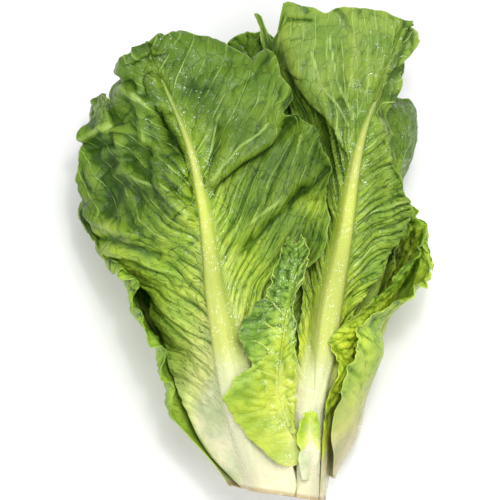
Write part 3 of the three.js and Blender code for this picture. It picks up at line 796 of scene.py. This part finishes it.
class Finish:
    """A node material, with short ways to add and join its nodes."""

    def __init__(self, name):
        self.material = bpy.data.materials.new(name)
        self.material.use_nodes = True
        self.tree = self.material.node_tree
        self.tree.nodes.clear()
        self.place = self.node("ShaderNodeTexCoord", {}).outputs["Object"]

    def node(self, kind, inputs, **settings):
        """A new node, whose inputs are constants or the outputs of other nodes."""
        made = self.tree.nodes.new(kind)
        for key, value in settings.items():
            setattr(made, key, value)
        for key, value in inputs.items():
            if isinstance(value, bpy.types.NodeSocket):
                self.tree.links.new(value, made.inputs[key])
            else:
                made.inputs[key].default_value = value
        return made

    def math(self, operation, *values):
        return self.node("ShaderNodeMath", dict(enumerate(values)), operation=operation).outputs[0]

    def plus(self, a, b):
        return self.math("ADD", a, b)

    def minus(self, a, b):
        return self.math("SUBTRACT", a, b)

    def times(self, a, b):
        return self.math("MULTIPLY", a, b)

    def blend(self, kind, factor, a, b):
        inputs = {"Factor": factor, 6: a, 7: b}  # 6 and 7 are the two colours
        return self.node("ShaderNodeMix", inputs, data_type="RGBA", blend_type=kind).outputs[2]

    def ramp(self, factor, stops):
        made = self.node("ShaderNodeValToRGB", {0: factor})
        made.color_ramp.interpolation = "EASE"
        elements = made.color_ramp.elements
        while len(elements) < len(stops):
            elements.new(0.5)
        for element, (place, colour) in zip(elements, stops):
            element.position = place
            element.color = colour
        return made.outputs[0]

    def range(self, value, *limits):
        """Eases a value from its low and high limits to two new ones, 0 and 1 where none are given."""
        inputs = dict(zip(("Value", "From Min", "From Max", "To Min", "To Max"), (value, *limits)))
        return self.node("ShaderNodeMapRange", inputs, interpolation_type="SMOOTHSTEP").outputs["Result"]

    def parts(self, attribute):
        """The three values of a point attribute, and the attribute as a vector."""
        vector = self.node("ShaderNodeAttribute", {}, attribute_name=attribute).outputs["Vector"]
        return [*self.node("ShaderNodeSeparateXYZ", {0: vector}).outputs[:3], vector]

    def noise(self, vector, scale, detail=3.0):
        inputs = {"Vector": vector, "Scale": scale, "Detail": detail}
        return self.node("ShaderNodeTexNoise", inputs).outputs["Fac"]

    def streaks(self, vector, stretch, scale, detail=3.0):
        """Noise that is drawn out along one axis of a vector."""
        drawn = self.node("ShaderNodeMapping", {"Vector": vector, "Scale": stretch}).outputs[0]
        return self.noise(drawn, scale, detail)

    def patches(self, size, low, high, least=0.0, most=1.0, detail=3.0):
        """Soft patches over the whole head, from the least to the most."""
        return self.range(self.noise(self.place, size, detail), low, high, least, most)

    def cells(self, vector, scale, feature):
        """Distance to the middle of the nearest cell (F1) or to its wall (DISTANCE_TO_EDGE)."""
        inputs = {"Vector": vector, "Scale": scale}
        return self.node("ShaderNodeTexVoronoi", inputs, feature=feature).outputs["Distance"]

    def bump(self, height, strength, distance):
        inputs = {"Height": height, "Strength": strength, "Distance": distance}
        return self.node("ShaderNodeBump", inputs).outputs["Normal"]

    def surface(self, inputs):
        """Ends the material with its shader."""
        shader = self.node("ShaderNodeBsdfPrincipled", inputs)
        self.node("ShaderNodeOutputMaterial", {"Surface": shader.outputs[0]})
        return self.material


CUT_BROWN = linear(178, 152, 112)
# painted highlight: the white glint of a water drop
DROP_GLINT = linear(240, 246, 226)

# Factors that darken or lighten a colour.
PLAIN = grey(1.0)
PATCHES = [(0.3, (0.7, 0.8, 0.66, 1)), (0.68, (1.14, 1.08, 1.1, 1))]
# painted shade in the hollows of the fine pleats, painted light on their crests
PLEAT_SHADE_AND_LIGHT = [(0.36, (0.5, 0.6, 0.42, 1)), (0.5, PLAIN), (0.7, (1.2, 1.12, 1.18, 1))]
# painted shade in thin creases
CREASE_SHADE = (0.28, 0.38, 0.18, 1)
# painted highlight on the crests of the relief, and painted shade in its hollows
HOLLOW_SHADE_CREST_LIGHT = [(0.1, (1.25, 1.16, 1.2, 1)), (0.5, PLAIN), (0.9, (0.36, 0.47, 0.22, 1))]
NET = [(0, grey(0.45)), (0.6, PLAIN), (1, PLAIN)]
RIB_GRAIN = [(0.3, (0.97, 0.98, 0.94, 1)), (0.7, (1.02, 1.01, 1.02, 1))]
# the midrib's sides: partly their own greener colour, partly painted shade
RIB_FLANK_GREEN_AND_SHADE = (0.56, 0.68, 0.3, 1)

# Scales of the textures in the head's own frame, in cells to a metre.
CLOUDS = 30.0
NET_PATCHES = 40.0
RIM_PATCHES = 50.0
DARK_PATCHES = 60.0
DULL_PATCHES = 90.0
GLINT_CLUSTERS = 90.0
WET_PATCHES = 300.0
BEADS = 420.0
GLINT_SPOTS = 700.0


class LeafFinish(Finish):
    """A leaf's material. What its point attributes hold is worked out by fine_leaf."""

    def __init__(self, name):
        super().__init__(name)
        self.phase, _, _, self.flow = self.parts("flow")
        self.ribness, self.edge, self.height, _ = self.parts("look")
        self.near, self.pleated, self.hollow, _ = self.parts("tint_and_shade")

    def blade(self, colours):
        """The blade gets greener towards the tip and the margin, in clouds."""
        cloud = self.times(self.minus(self.noise(self.place, CLOUDS), 0.5), 0.16)
        outwards = self.times(self.minus(0.6, self.near), 0.3)
        colour = self.ramp(self.plus(self.plus(self.height, cloud), outwards), colours)
        return self.blend("MULTIPLY", 1.0, colour, self.ramp(self.noise(self.place, DARK_PATCHES), PATCHES))

    def folds(self, colour, streaks):
        """Painted shade and light: fine pleats along the veins are darker in their hollows and lighter on
        their crests, thin creases are darker, and the hollows between the folds are darker.
        """
        colour = self.blend("MULTIPLY", self.times(self.pleated, 0.55), colour, self.ramp(streaks, PLEAT_SHADE_AND_LIGHT))
        creases = self.range(self.streaks(self.flow, (7.0, 1.4, 0.0), 1.3, 2.0), 0.32, 0.41, 1.0, 0.0)
        colour = self.blend("MULTIPLY", self.times(creases, self.pleated), colour, CREASE_SHADE)
        # painted shade in the hollows of the relief and painted highlight on its crests
        painted_depth = self.ramp(self.hollow, HOLLOW_SHADE_CREST_LIGHT)
        return self.blend("MULTIPLY", self.range(self.height, 0.08, 0.36), colour, painted_depth)

    def net(self):
        """Thin veins between the lateral ones: 0 on the larger ones, 0.5 on the smaller, 1 off them."""
        small = self.range(self.cells(self.flow, 2.6, "DISTANCE_TO_EDGE"), 0.0, 0.1, 0.5)
        large = self.range(self.cells(self.flow, 1.2, "DISTANCE_TO_EDGE"), 0.0, 0.09)
        return self.math("MINIMUM", small, large)

    def netted(self, colour, net):
        patches = self.patches(NET_PATCHES, 0.35, 0.65, 0.3)
        shown = self.times(self.range(self.height, 0.15, 0.45, 0.0, 0.75), patches)
        return self.blend("MULTIPLY", shown, colour, self.ramp(net, NET))

    def veins(self):
        """How much of a lateral vein shows, from 0 to 1."""
        doubled = self.times(self.math("FRACT", self.phase), 2.0)
        gap = self.minus(1.0, self.math("ABSOLUTE", self.minus(doubled, 1.0)))
        line = self.times(self.range(gap, 0.0, 0.12, 1.0, 0.0), self.range(self.height, 0.08, 0.3))
        broken = self.range(self.noise(self.flow, 0.9), 0.4, 0.6)
        return self.times(line, self.times(self.range(self.near, 0.05, 0.7, 0.5, 0.75), broken))

    def rimmed(self, colour, rim_colour):
        patches = self.patches(RIM_PATCHES, 0.4, 0.6, 0.1)
        rim = self.times(self.range(self.edge, 0.45, 0.95, 0.0, 0.6), patches)
        return self.blend("MIX", rim, colour, rim_colour)

    def ribbed(self, colour, colours):
        """The midrib with its fine grain and darker flanks, partly their own greener colour and partly
        painted shade, and the brown of the cut.
        """
        grain = self.ramp(self.streaks(self.flow, (0.0, 5.0, 0.4), 1.0), RIB_GRAIN)
        rib = self.blend("MULTIPLY", 1.0, self.ramp(self.height, colours), grain)
        flank = self.blend("MULTIPLY", self.range(self.height, 0.18, 0.42), rib, RIB_FLANK_GREEN_AND_SHADE)
        colour = self.blend("MIX", self.range(self.ribness, 0.08, 0.4), colour, flank)
        colour = self.blend("MIX", self.range(self.ribness, 0.3, 0.9), colour, rib)
        return self.blend("MIX", self.range(self.height, 0.003, 0.012, 0.8, 0.0), colour, CUT_BROWN)

    def painted_glints(self, colour):
        """Painted highlights: tiny white glints of water drops in clusters, most of them beside the midrib.
        """
        spots = self.range(self.cells(self.place, GLINT_SPOTS, "F1"), 0.12, 0.3, 1.0, 0.0)
        clusters = self.patches(GLINT_CLUSTERS, 0.46, 0.56)
        clusters = self.times(clusters, self.range(self.near, 0.45, 0.9, 0.08, 1.0))
        clusters = self.times(clusters, self.range(self.height, 0.65, 0.8, 1.0, 0.25))
        return self.blend("MIX", self.times(self.times(spots, clusters), 0.85), colour, DROP_GLINT)


def leaf_finish(name, blade, rib, vein):
    """Blade and rib are colours from the cut end to the tip; the veins and the margin share one."""
    f = LeafFinish(name)
    streaks = f.streaks(f.flow, (5.0, 1.1, 0.0), 1.6, 2.0)
    net = f.net()
    veins = f.veins()
    colour = f.netted(f.folds(f.blade(blade), streaks), net)
    colour = f.rimmed(f.blend("MIX", veins, colour, vein), vein)
    colour = f.painted_glints(f.ribbed(colour, rib))
    relief = f.plus(f.times(net, 0.3), f.times(f.times(streaks, f.pleated), 1.8))
    relief = f.plus(relief, f.times(veins, 0.5))
    relief = f.times(relief, f.minus(1.0, f.range(f.ribness, 0.1, 0.5)))
    wet = f.patches(WET_PATCHES, 0.52, 0.6, detail=1.0)
    return f.surface({
        "Base Color": colour,
        "Roughness": f.patches(DULL_PATCHES, 0.35, 0.7, 0.56, 0.4),
        "Specular IOR Level": 0.24,
        "Subsurface Weight": 0.1,
        "Subsurface Radius": (0.5, 1.0, 0.2),
        "Subsurface Scale": 0.003,
        "Normal": f.bump(relief, 0.6, 0.0009),
        "Coat Weight": f.times(wet, f.range(f.near, 0.3, 0.8, 0.25, 1.0)),
        "Coat Roughness": 0.06,
        "Coat Normal": f.bump(f.noise(f.place, BEADS, 1.0), 1.0, 0.0016),
    })


def stem_finish():
    f = Finish("stem_flesh")
    flesh = painted([(0.35, (206, 196, 150)), (0.7, (232, 226, 190))])
    return f.surface({
        "Base Color": f.ramp(f.noise(f.place, 120.0), flesh),
        "Roughness": 0.5,
        "Normal": f.bump(f.noise(f.place, 500.0), 0.4, 0.0005),
    })


def stem_piece():
    """The stem: a round foot, extruded up and narrowed ring by ring along its bent axis."""
    bpy.ops.object.select_all(action="DESELECT")
    bpy.ops.mesh.primitive_circle_add(
        vertices=STEM_SIDES, radius=STEM_RADIUS[0] * MM, fill_type="NGON",
        location=(axis_x(0.0) * MM, 0, 0), rotation=(-math.pi / 2, 0, 0),
    )
    piece = bpy.context.object
    piece.name = "cut_stem"
    bpy.ops.object.transform_apply(location=True, rotation=True, scale=True)
    bpy.ops.object.mode_set(mode="EDIT")
    bpy.ops.mesh.select_all(action="SELECT")
    rise = STEM_LENGTH / STEM_RINGS
    for ring in range(STEM_RINGS):
        before, after = ring / STEM_RINGS, (ring + 1) / STEM_RINGS
        centre = float(axis_x(rise * (ring + 1)))
        shift = centre - float(axis_x(rise * ring))
        bpy.ops.mesh.extrude_region_move(
            TRANSFORM_OT_translate={"value": (shift * MM, rise * MM, 0)},
        )
        ratio = float(curve(STEM_RADIUS, after) / curve(STEM_RADIUS, before))
        bpy.ops.transform.resize(
            value=(ratio, 1, ratio), center_override=(centre * MM, rise * (ring + 1) * MM, 0),
        )
    bpy.ops.mesh.select_all(action="SELECT")
    bpy.ops.mesh.normals_make_consistent(inside=False)
    bpy.ops.object.mode_set(mode="OBJECT")
    bpy.ops.object.shade_smooth_by_angle(angle=math.radians(40))
    return piece


# ---- how each leaf looks: its colours on screen, from the cut end to the tip ----

CREAM = (226, 222, 172)
PALE_YELLOW = (214, 220, 132)
SPRING = (150, 178, 56)
DEEP = (94, 126, 26)

RIB = painted([
    (0.0, (214, 211, 174)), (0.14, (213, 214, 174)), (0.22, (208, 212, 162)), (0.31, (188, 197, 100)),
    (0.45, (172, 183, 84)), (0.56, (190, 200, 90)), (0.66, (180, 188, 96)), (0.77, (140, 160, 72)),
])
GREEN_BLADE = [
    (0.13, (224, 225, 184)), (0.25, (208, 218, 136)), (0.4, (164, 188, 78)), (0.56, (140, 169, 50)),
    (0.7, (102, 132, 34)), (0.84, (80, 110, 26)), (0.96, (92, 124, 34)),
]
BROAD_BLADE = [
    (0.16, (232, 228, 186)), (0.24, PALE_YELLOW), (0.3, (196, 212, 66)), (0.42, SPRING),
    (0.6, (122, 152, 48)), (0.8, (110, 138, 44)), (0.95, (120, 146, 54)),
]
BRIGHT_BLADE = [
    (0.08, (206, 194, 158)), (0.19, (198, 190, 140)), (0.28, (194, 200, 112)), (0.38, (178, 202, 78)),
    (0.5, (168, 200, 64)), (0.7, (172, 206, 66)), (0.95, (160, 194, 60)),
]
POCKET_BLADE = [
    (0.11, (216, 208, 164)), (0.15, (206, 220, 76)), (0.4, (196, 214, 60)), (0.52, (130, 164, 44)),
    (0.7, DEEP), (0.95, DEEP),
]
BUD_BLADE = [(0.0, (238, 236, 200)), (0.02, (204, 216, 108)), (0.05, (174, 202, 52))]
DARK_BLADE = [
    (0.04, CREAM), (0.12, (160, 186, 66)), (0.3, (150, 180, 62)), (0.5, (140, 172, 56)),
    (0.75, DEEP), (0.95, DEEP),
]
YOUNG_BLADE = [
    (0.0, PALE_YELLOW), (0.08, (186, 200, 84)), (0.21, (170, 190, 60)), (0.28, (146, 178, 66)),
    (0.34, (108, 144, 48)), (0.42, (104, 140, 46)), (0.95, SPRING),
]
# A material's name, its blade's colours, and the colour of its veins and its margin.
LEAF_FINISHES = (
    ("green_leaf", GREEN_BLADE, (164, 190, 96)),
    ("broad_leaf", BROAD_BLADE, (178, 202, 116)),
    ("pocket_leaf", POCKET_BLADE, (176, 200, 92)),
    ("bright_leaf", BRIGHT_BLADE, (190, 208, 110)),
    ("dark_leaf", DARK_BLADE, (150, 182, 84)),
    ("young_leaf", YOUNG_BLADE, (206, 218, 110)),
    ("bud", BUD_BLADE, (206, 218, 110)),
)
FINISHES = {
    name: leaf_finish(name, painted(blade), RIB, linear(*vein)) for name, blade, vein in LEAF_FINISHES
}

# Lines in plan, in millimetres. Most of these are both folds and pale lines. A pale line that runs along a
# fold's crest is painted highlight.
LEFT_RIDGE = [(-75, 199), (-74, 184), (-65, 179), (-51, 173), (-41, 164), (-30, 152)]
UPPER_RIDGE = [(-71, 229), (-65, 226), (-60, 200)]
RIDGE_BRANCH = [(-54, 214), (-65, 226)]
RIGHT_BULGE = [
    (19, 235), (21, 227), (16, 220), (14, 212), (9, 202), (1, 196), (-8, 191), (-20, 181), (-26, 175),
]
CURLED_LOBE = [(-96, 202), (-84, 207), (-79, 206), (-81, 212), (-86, 217)]
ROLLED_EDGE = [(18, 257), (24, 244), (29, 232), (37, 220), (44, 213), (49, 206), (53, 197)]

FRONT_LEFT_FOLDS = [
    # the bulge of the right half, steep at its lower edge, and the crease under it
    (RIGHT_BULGE, 7, 2.5, 22),
    ([(23, 212), (14, 203), (3, 193), (-8, 187), (-18, 179)], -4, 4, 2.5),
    ([(-20, 208), (-23, 196), (-26, 186)], -4, 4, 5),
    ([(-14, 205), (-20, 188), (-24, 180)], 2, 4, 4),
    # the two lobes below it
    ([(31, 205), (22, 181), (14, 166), (-11, 145)], 3.5, 5, 5),
    ([(27, 173), (17, 161), (5, 148), (-4, 140)], -5, 4, 2.5),
    ([(39, 171), (28, 170), (20, 164), (7, 148)], 3, 3, 8),
    ([(42, 184), (35, 177), (28, 172), (20, 165)], -4, 3, 2),
    # the left half: the dark wedge beside the midrib, pale ridges and hollows
    ([(-52, 216), (-47, 206), (-41, 197), (-36, 188), (-33, 175)], -9, 2, 4),
    ([(-48, 199), (-41, 181), (-35, 169)], -4, 4, 3),
    (LEFT_RIDGE, 4, 3.5, 5),
    ([(-54, 196), (-52, 179), (-45, 167), (-38, 161), (-31, 155)], 3.5, 3, 3),
    ([(-72, 190), (-59, 193)], -3, 5, 5),
    (UPPER_RIDGE, 3, 3, 3),
    (RIDGE_BRANCH, 2.5, 3, 3),
    ([(-89, 187), (-78, 187)], -3, 5, 5),
    ([(-92, 160), (-80, 152), (-68, 146)], 4, 3, 3),
    ([(-89, 145), (-74, 140), (-54, 134)], -4, 3, 3),
    ([(-99, 193), (-91, 181), (-86, 166)], 3, 4, 5),
    # lobes of the margin that curl over
    (CURLED_LOBE, 5, 8, 1.5),
    ([(-94, 197), (-80, 200)], -4, 3, 4),
    ([(-67, 246), (-60, 250), (-52, 250)], 4, 3, 1.2),
]
FRONT_LEFT_LINES = [
    LEFT_RIDGE, UPPER_RIDGE, RIDGE_BRANCH, CURLED_LOBE,
    [(-26, 175), (-18, 188), (-8, 199), (2, 206), (10, 216)],
    [(-30, 181), (-24, 196), (-20, 212), (-14, 224)],
    [(31, 205), (22, 181), (14, 166), (-3, 152)],
]
FRONT_LEFT_PULLS = [
    (8, 239, 2, 6, 5), (0, 244, 0, -2, 3), (33, 218, -13, -3, 6), (-92, 222, 9, -4, 10), (-80, 234, 5, 1, 5),
    (22, 6, 3, 0, 10), (36, 117, -12, 0, 14), (-77, 141, -9, -6, 13), (-61, 112, 3, 2, 7),
    (-53, 84, 2, 0, 16),
]
# Painted shade on panels, in the wedge beside the midrib and in the gaps between lobes; painted light on lit
# lobes where negative.
FRONT_LEFT_PAINTED_SHADE = [
    (-86, 193, 9, 7, 0.3), (-68, 191, 7, 5, 0.3), (-63, 179, 6, 4, 0.2), (-33, 229, 14, 8, 0.18),
    (-5, 214, 14, 10, -0.2), (-71, 165, 8, 6, 0.25), (-83, 151, 8, 7, -0.3), (-62, 241, 6, 10, -0.15),
    (30, 200, 7, 6, -0.45), (37, 163, 9, 7, -0.35), (-2, 184, 8, 3, 0.2), (-44, 205, 4, 9, 0.4),
    (-72, 190, 20, 30, 0.2), (-57, 245, 7, 2, 0.3),
]
# Painted light: patches of the front left leaf that take the paler colours from lower down.
FRONT_LEFT_PAINTED_LIGHT = [
    (36, 164, 9, 8, 0.22), (32, 196, 6, 7, 0.12), (-84, 148, 8, 8, 0.18), (-78, 132, 8, 8, 0.12),
    (-24, 44, 12, 16, 0.08),
]
FRONT_RIGHT_FOLDS = [
    (ROLLED_EDGE, 2, 6, 2),
    ([(19, 269), (34, 268)], -2, 1.2, 1.2),
    ([(35, 233), (44, 228), (58, 228), (72, 236)], 2.5, 16, 6),
    ([(47, 224), (55, 208)], -1.5, 7, 6),
    ([(90, 262), (84, 246), (77, 229), (72, 215)], -4, 4, 4),
    ([(57, 228), (58, 256)], 0.5, 2, 2),
    ([(66, 232), (65, 252)], 0.5, 2, 2),
    ([(46, 232), (42, 256)], 0.5, 2, 2),
    ([(70, 212), (75, 200), (78, 190)], 3, 3, 3),
]
FRONT_RIGHT_LINES = [
    ROLLED_EDGE,
    [(57, 212), (54, 222), (57, 240), (58, 262)], [(60, 214), (66, 232), (65, 255)],
    [(55, 208), (47, 222), (40, 232), (34, 250)], [(59, 213), (49, 232), (45, 252), (44, 264)],
]
FRONT_RIGHT_PULLS = [
    (12, 277, 0, -19, 4.5), (22, 277, -1, 4, 5), (42, 276, 0, -4, 5), (102, 258, -5, 0, 8),
    (91, 242, -5, 0, 8), (50, 45, 2, 0, 30),
]
# Painted shade: the gap under the left front leaf's margin, the slopes beside the midrib and the strip right
# of it at the top.
FRONT_RIGHT_PAINTED_SHADE = [
    (48, 222, 8, 4, 0.2), (80, 150, 6, 4, 0.25), (62, 112, 9, 6, 0.25), (56, 96, 6, 8, 0.3),
    (41, 200, 7, 12, 0.45), (45, 181, 5, 12, 0.3), (26, 222, 8, 6, 0.5), (12, 262, 5, 14, 0.3),
    (88, 262, 5, 6, 0.2), (86, 238, 6, 9, 0.4), (82, 222, 6, 9, 0.45), (79, 208, 5, 6, 0.3),
]
OUTER_RIGHT_PULLS = [
    (45, 40, 9, 0, 18), (101, 165, -5, -5, 6), (104, 145, -4, 0, 14), (72, 94, -10, 0, 10),
    (90, 98, -6, 0, 16),
]

# Lengths and heights are in millimetres. A row of values runs from the leaf's base to its tip. Where
# there are two rows, and in rib_fades, the first is for the left half.
PLAIN_LOOK = {
    "hidden": False,  # mostly covered, so made of larger cells and flatter
    "stalk": 0.1,  # the share of the leaf that has no folds
    "lobes": 1.5, "teeth": 0.5,  # how far the margin goes in and out
    "widen": (0, 0),  # by what share of its width the leaf is widened
    "slopes": ((0.3, 0.6, 0.9), (0.3, 0.6, 0.9)),  # how steeply the lateral veins rise
    "sweep": (8, 12),  # how far they rise at first, and within what distance
    "warp": 5, "spacing": 13, "vein": 0.5,  # how far they stray, how far apart and how high they are
    "pleat": (1.6, 1.6), "pleat_size": (36, 7), "pleat_reach": 1000,  # sizes along and across them
    "crumple": (0.5, 0.5), "crumple_size": (7, 7),  # sizes across and along the leaf
    "panels": ((0, 0), (0, 0)), "billow": 2,  # two larger reliefs
    "ruffle": 2.6, "ruffle_size": 8, "ruffle_reach": 8,  # waves of the margin
    "folds": (), "lines": (), "pulls": (),  # see folded, pale_lines and pulled
    "shades": (), "younger": (),  # patches of painted shade, painted light where negative, and patches of painted light that take the colours from lower down
    "rib_width": 1, "rib_rise": 1, "rib_crest": (0, 0), "rib_pale": 1, "rib_fades": (2.2, 2.2),
    "near": 1,  # how much the veins, the wet coat and the painted glints of the water drops gather at the midrib
    "ahead": ((0, 0), (0, 0)),  # how much nearer the tip a half's colours are taken
}


def leaf_look(finish, slot, **more):
    """The plain look, apart from what is given."""
    return PLAIN_LOOK | {"finish": finish, "slot": slot} | more


HEART_LOOK = leaf_look("young_leaf", "heart_leaves", hidden=True)
LOOKS = {f"heart_leaf_{n + 1}": HEART_LOOK for n in range(HEART_LEAVES)} | {
    "leaf_behind_gap": leaf_look(
        # painted shade where this leaf lies in the gap between the two front leaves
        "dark_leaf", "inner_leaves", pleat=(2.5, 2.5), shades=[(24, 220, 14, 12, 0.4)],
    ),
    "under_leaf_left": leaf_look("green_leaf", "inner_leaves", hidden=True),
    "back_leaf_left": leaf_look("green_leaf", "outer_leaves"),
    "back_leaf_right": leaf_look(
        "green_leaf", "outer_leaves", pleat=(1.2, 0.4), crumple=(0.3, 0.3), rib_pale=0.1, vein=0.2,
        near=0.7, lobes=3.5, pulls=[(97, 238, -10, -8, 9), (98, 176, -6, 0, 12)],
    ),
    "front_leaf_right": leaf_look(
        "broad_leaf", "outer_leaves", folds=FRONT_RIGHT_FOLDS, lines=FRONT_RIGHT_LINES,
        shades=FRONT_RIGHT_PAINTED_SHADE, pulls=FRONT_RIGHT_PULLS,
        slopes=((0.8, 1, 1.4, 1.8), (0.3, 0.45, 0.8, 1.4)), sweep=(16, 11),
        pleat=(1, 1.8, 2.8, 2.5, 0.7, 0.2), pleat_size=(30, 4.6), crumple=(0.2, 0.3, 0.3, 0.2, 0.2),
        panels=((0, 0.3, 0.4), (0.5, 0.5, 0.5)), billow=1.5,
        rib_crest=(0.45, 0.45, 0.3, 0), rib_fades=(1.4, 3), ahead=((0, 0), (-0.1, 0, 0.06, 0, 0)),
    ),
    "under_leaf_right": leaf_look("green_leaf", "inner_leaves", hidden=True),
    "front_leaf_left": leaf_look(
        "green_leaf", "outer_leaves", folds=FRONT_LEFT_FOLDS, lines=FRONT_LEFT_LINES,
        shades=FRONT_LEFT_PAINTED_SHADE, younger=FRONT_LEFT_PAINTED_LIGHT, pulls=FRONT_LEFT_PULLS,
        slopes=((0.3, 0.4, 0.6, 1.2, 1.4), (0.6, 1, 1.2, 1, 0.8)), sweep=(6, 12),
        pleat=(1.4, 2.6, 3.1, 2.4, 0.9, 0.3), pleat_size=(28, 5.5), pleat_reach=30,
        crumple=(0.2, 0.3, 0.3, 0.3, 0.3), panels=((0, 0, 0.8, 2.6, 2.6), (0, 0, 0.5, 1, 0.8)),
        billow=2.5, ruffle=1.8, lobes=2.2, teeth=0.9,
        rib_crest=(-0.1, -0.4, -0.4, -0.2, 0), rib_fades=(2.6, 1.6),
        # the upper left half takes darker colours from nearer the tip: partly its own colour, partly painted
        # shade where it slopes away from the light
        ahead=((0, -0.04, 0.04, 0.18, 0.18), (0, 0.05, 0.05, 0.02)),
    ),
    "inner_leaf_right": leaf_look(
        "pocket_leaf", "outer_leaves", pleat=(1, 1.6), crumple=(1.6, 1.8, 0.9, 0.6), crumple_size=(5, 4),
        lobes=3, teeth=1, pulls=[(48, 46, -4, 0, 24), (52, 84, -4, 0, 10)],
    ),
    "outer_leaf_left": leaf_look(
        "dark_leaf", "outer_leaves", pleat=(1.6, 2), crumple=(0.8, 1.5), crumple_size=(9, 7),
        lobes=3, teeth=1.2, ruffle=6, ruffle_size=11, ruffle_reach=12, widen=(0, 0.06, 0.14, 0.16, 0.1, 0),
    ),
    "outer_leaf_right": leaf_look(
        "bright_leaf", "outer_leaves", pleat=(0.6, 1.6), crumple=(0.3, 1.2), lobes=3, teeth=0.8,
        # painted light on the upper flap, which lies in shade
        ruffle=3.4, ruffle_size=4, shades=[(93, 130, 8, 12, -0.6)], pulls=OUTER_RIGHT_PULLS,
    ),
    "bottom_leaf": leaf_look("green_leaf", "outer_leaves"),
    "small_leaf": leaf_look(
        "young_leaf", "small_leaves", slopes=((0.1, 0.2), (0.1, 0.2)), pleat=(0.3, 0.6, 1.6),
        pleat_size=(12, 5), crumple=(1, 1.3, 1.8), crumple_size=(6, 3), lobes=4, teeth=1.8, ruffle=2,
        stalk=0.02, vein=0.1, rib_rise=0.2, rib_pale=0, rib_width=0.3, pulls=[(29, 7, 0, 9, 10)],
    ),
    "shoot": leaf_look(
        "bud", "small_leaves", pleat=(0, 0.5), crumple=(0, 0.4, 1), crumple_size=(3, 3), lobes=1,
        billow=0.3, ruffle=1, ruffle_size=4, ruffle_reach=3, vein=0, rib_rise=0.4, rib_pale=0,
        widen=(0.5, 2.2, 1.8, 1.1, 1, 1.2), pulls=[(36, 30, -4, 0, 30), (36, 6, -1, 6, 8)],
    ),
}


def seat(coarse):
    """What moves the head into its own frame: the middle of its underside is the origin."""
    places = np.concatenate([slanted(face).reshape(-1, 3) for faces in coarse.values() for face in faces])
    low, high = places.min(0), places.max(0)
    middle = (low + high) / 2
    return np.array([middle[0], middle[1], low[2]])


def build_head():
    """Makes every piece; gives the height of the head's axis, in metres."""
    coarse = {name: coarse_leaf(spec) for name, spec in LEAVES.items()}
    shift = seat(coarse)
    pieces = []
    for number, (name, spec) in enumerate(LEAVES.items()):
        look = LOOKS[name]
        sheet, thickness, fields = fine_leaf(spec, look, coarse[name][0], shift[2], 100 * number)
        blade_name = name.replace("leaf", "blade") if "leaf" in name else name + "_blade"
        piece = blade_piece(blade_name, sheet, thickness, fields)
        piece.data.materials.append(FINISHES[look["finish"]])
        pieces.append((piece, name, look["slot"]))
    stem = stem_piece()
    stem.data.materials.append(stem_finish())
    pieces.append((stem, "stem", "stem"))
    for piece, node, slot in pieces:
        seated(piece, shift)
        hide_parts(node)
        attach(piece, "root")
    return -shift[2] * MM


AXIS_HEIGHT = build_head()

# ---- the stage, in metres ----

FLOOR_SIZE = 30
SKY = 0.17  # how bright the sky is
# A light's name, place, size and power.
LIGHTS = (
    ("window", (0.35, 0.65, 1.9), 1.1, 35),
    ("side", (1.1, -0.4, 1.3), 1, 6),
    ("lamp", (0.15, 0.5, 1.9), 0.12, 6),
    ("fill", (-1.0, -0.9, 1.5), 1.2, 22),
)
VIEW_WIDTH = 0.2875  # what the view takes in at the head's axis
VIEW_CENTRE = (-0.0033, 0.0031)
CAMERA_HEIGHT = 3.0
SENSOR = 36  # in millimetres
FARTHEST = 100


def stage():
    bpy.ops.object.select_all(action="DESELECT")
    bpy.ops.mesh.primitive_plane_add(size=FLOOR_SIZE)
    floor = bpy.context.object
    floor.name = "floor"
    paint = Finish("floor_paint").surface({"Base Color": grey(0.9), "Roughness": 0.9})
    floor.data.materials.append(paint)

    world = bpy.data.worlds.new("sky")
    bpy.context.scene.world = world
    world.use_nodes = True
    world.node_tree.nodes["Background"].inputs["Color"].default_value = grey(1.0)
    world.node_tree.nodes["Background"].inputs["Strength"].default_value = SKY

    for name, place, size, power in LIGHTS:
        light = bpy.data.lights.new(name, "AREA")
        light.size = size
        light.energy = power
        lamp = bpy.data.objects.new(name, light)
        lamp.location = place
        lamp.rotation_mode = "QUATERNION"
        lamp.rotation_quaternion = (-Vector(place)).to_track_quat("-Z", "Y")
        bpy.context.scene.collection.objects.link(lamp)


def camera():
    """A camera that looks straight down."""
    data = bpy.data.cameras.new("camera")
    data.sensor_width = SENSOR
    data.lens = SENSOR * (CAMERA_HEIGHT - AXIS_HEIGHT) / VIEW_WIDTH
    data.clip_end = FARTHEST
    made = bpy.data.objects.new("camera", data)
    made.location = (*VIEW_CENTRE, CAMERA_HEIGHT)
    bpy.context.scene.collection.objects.link(made)
    bpy.context.scene.camera = made


stage()
camera()
bpy.context.scene.view_settings.view_transform = "Standard"
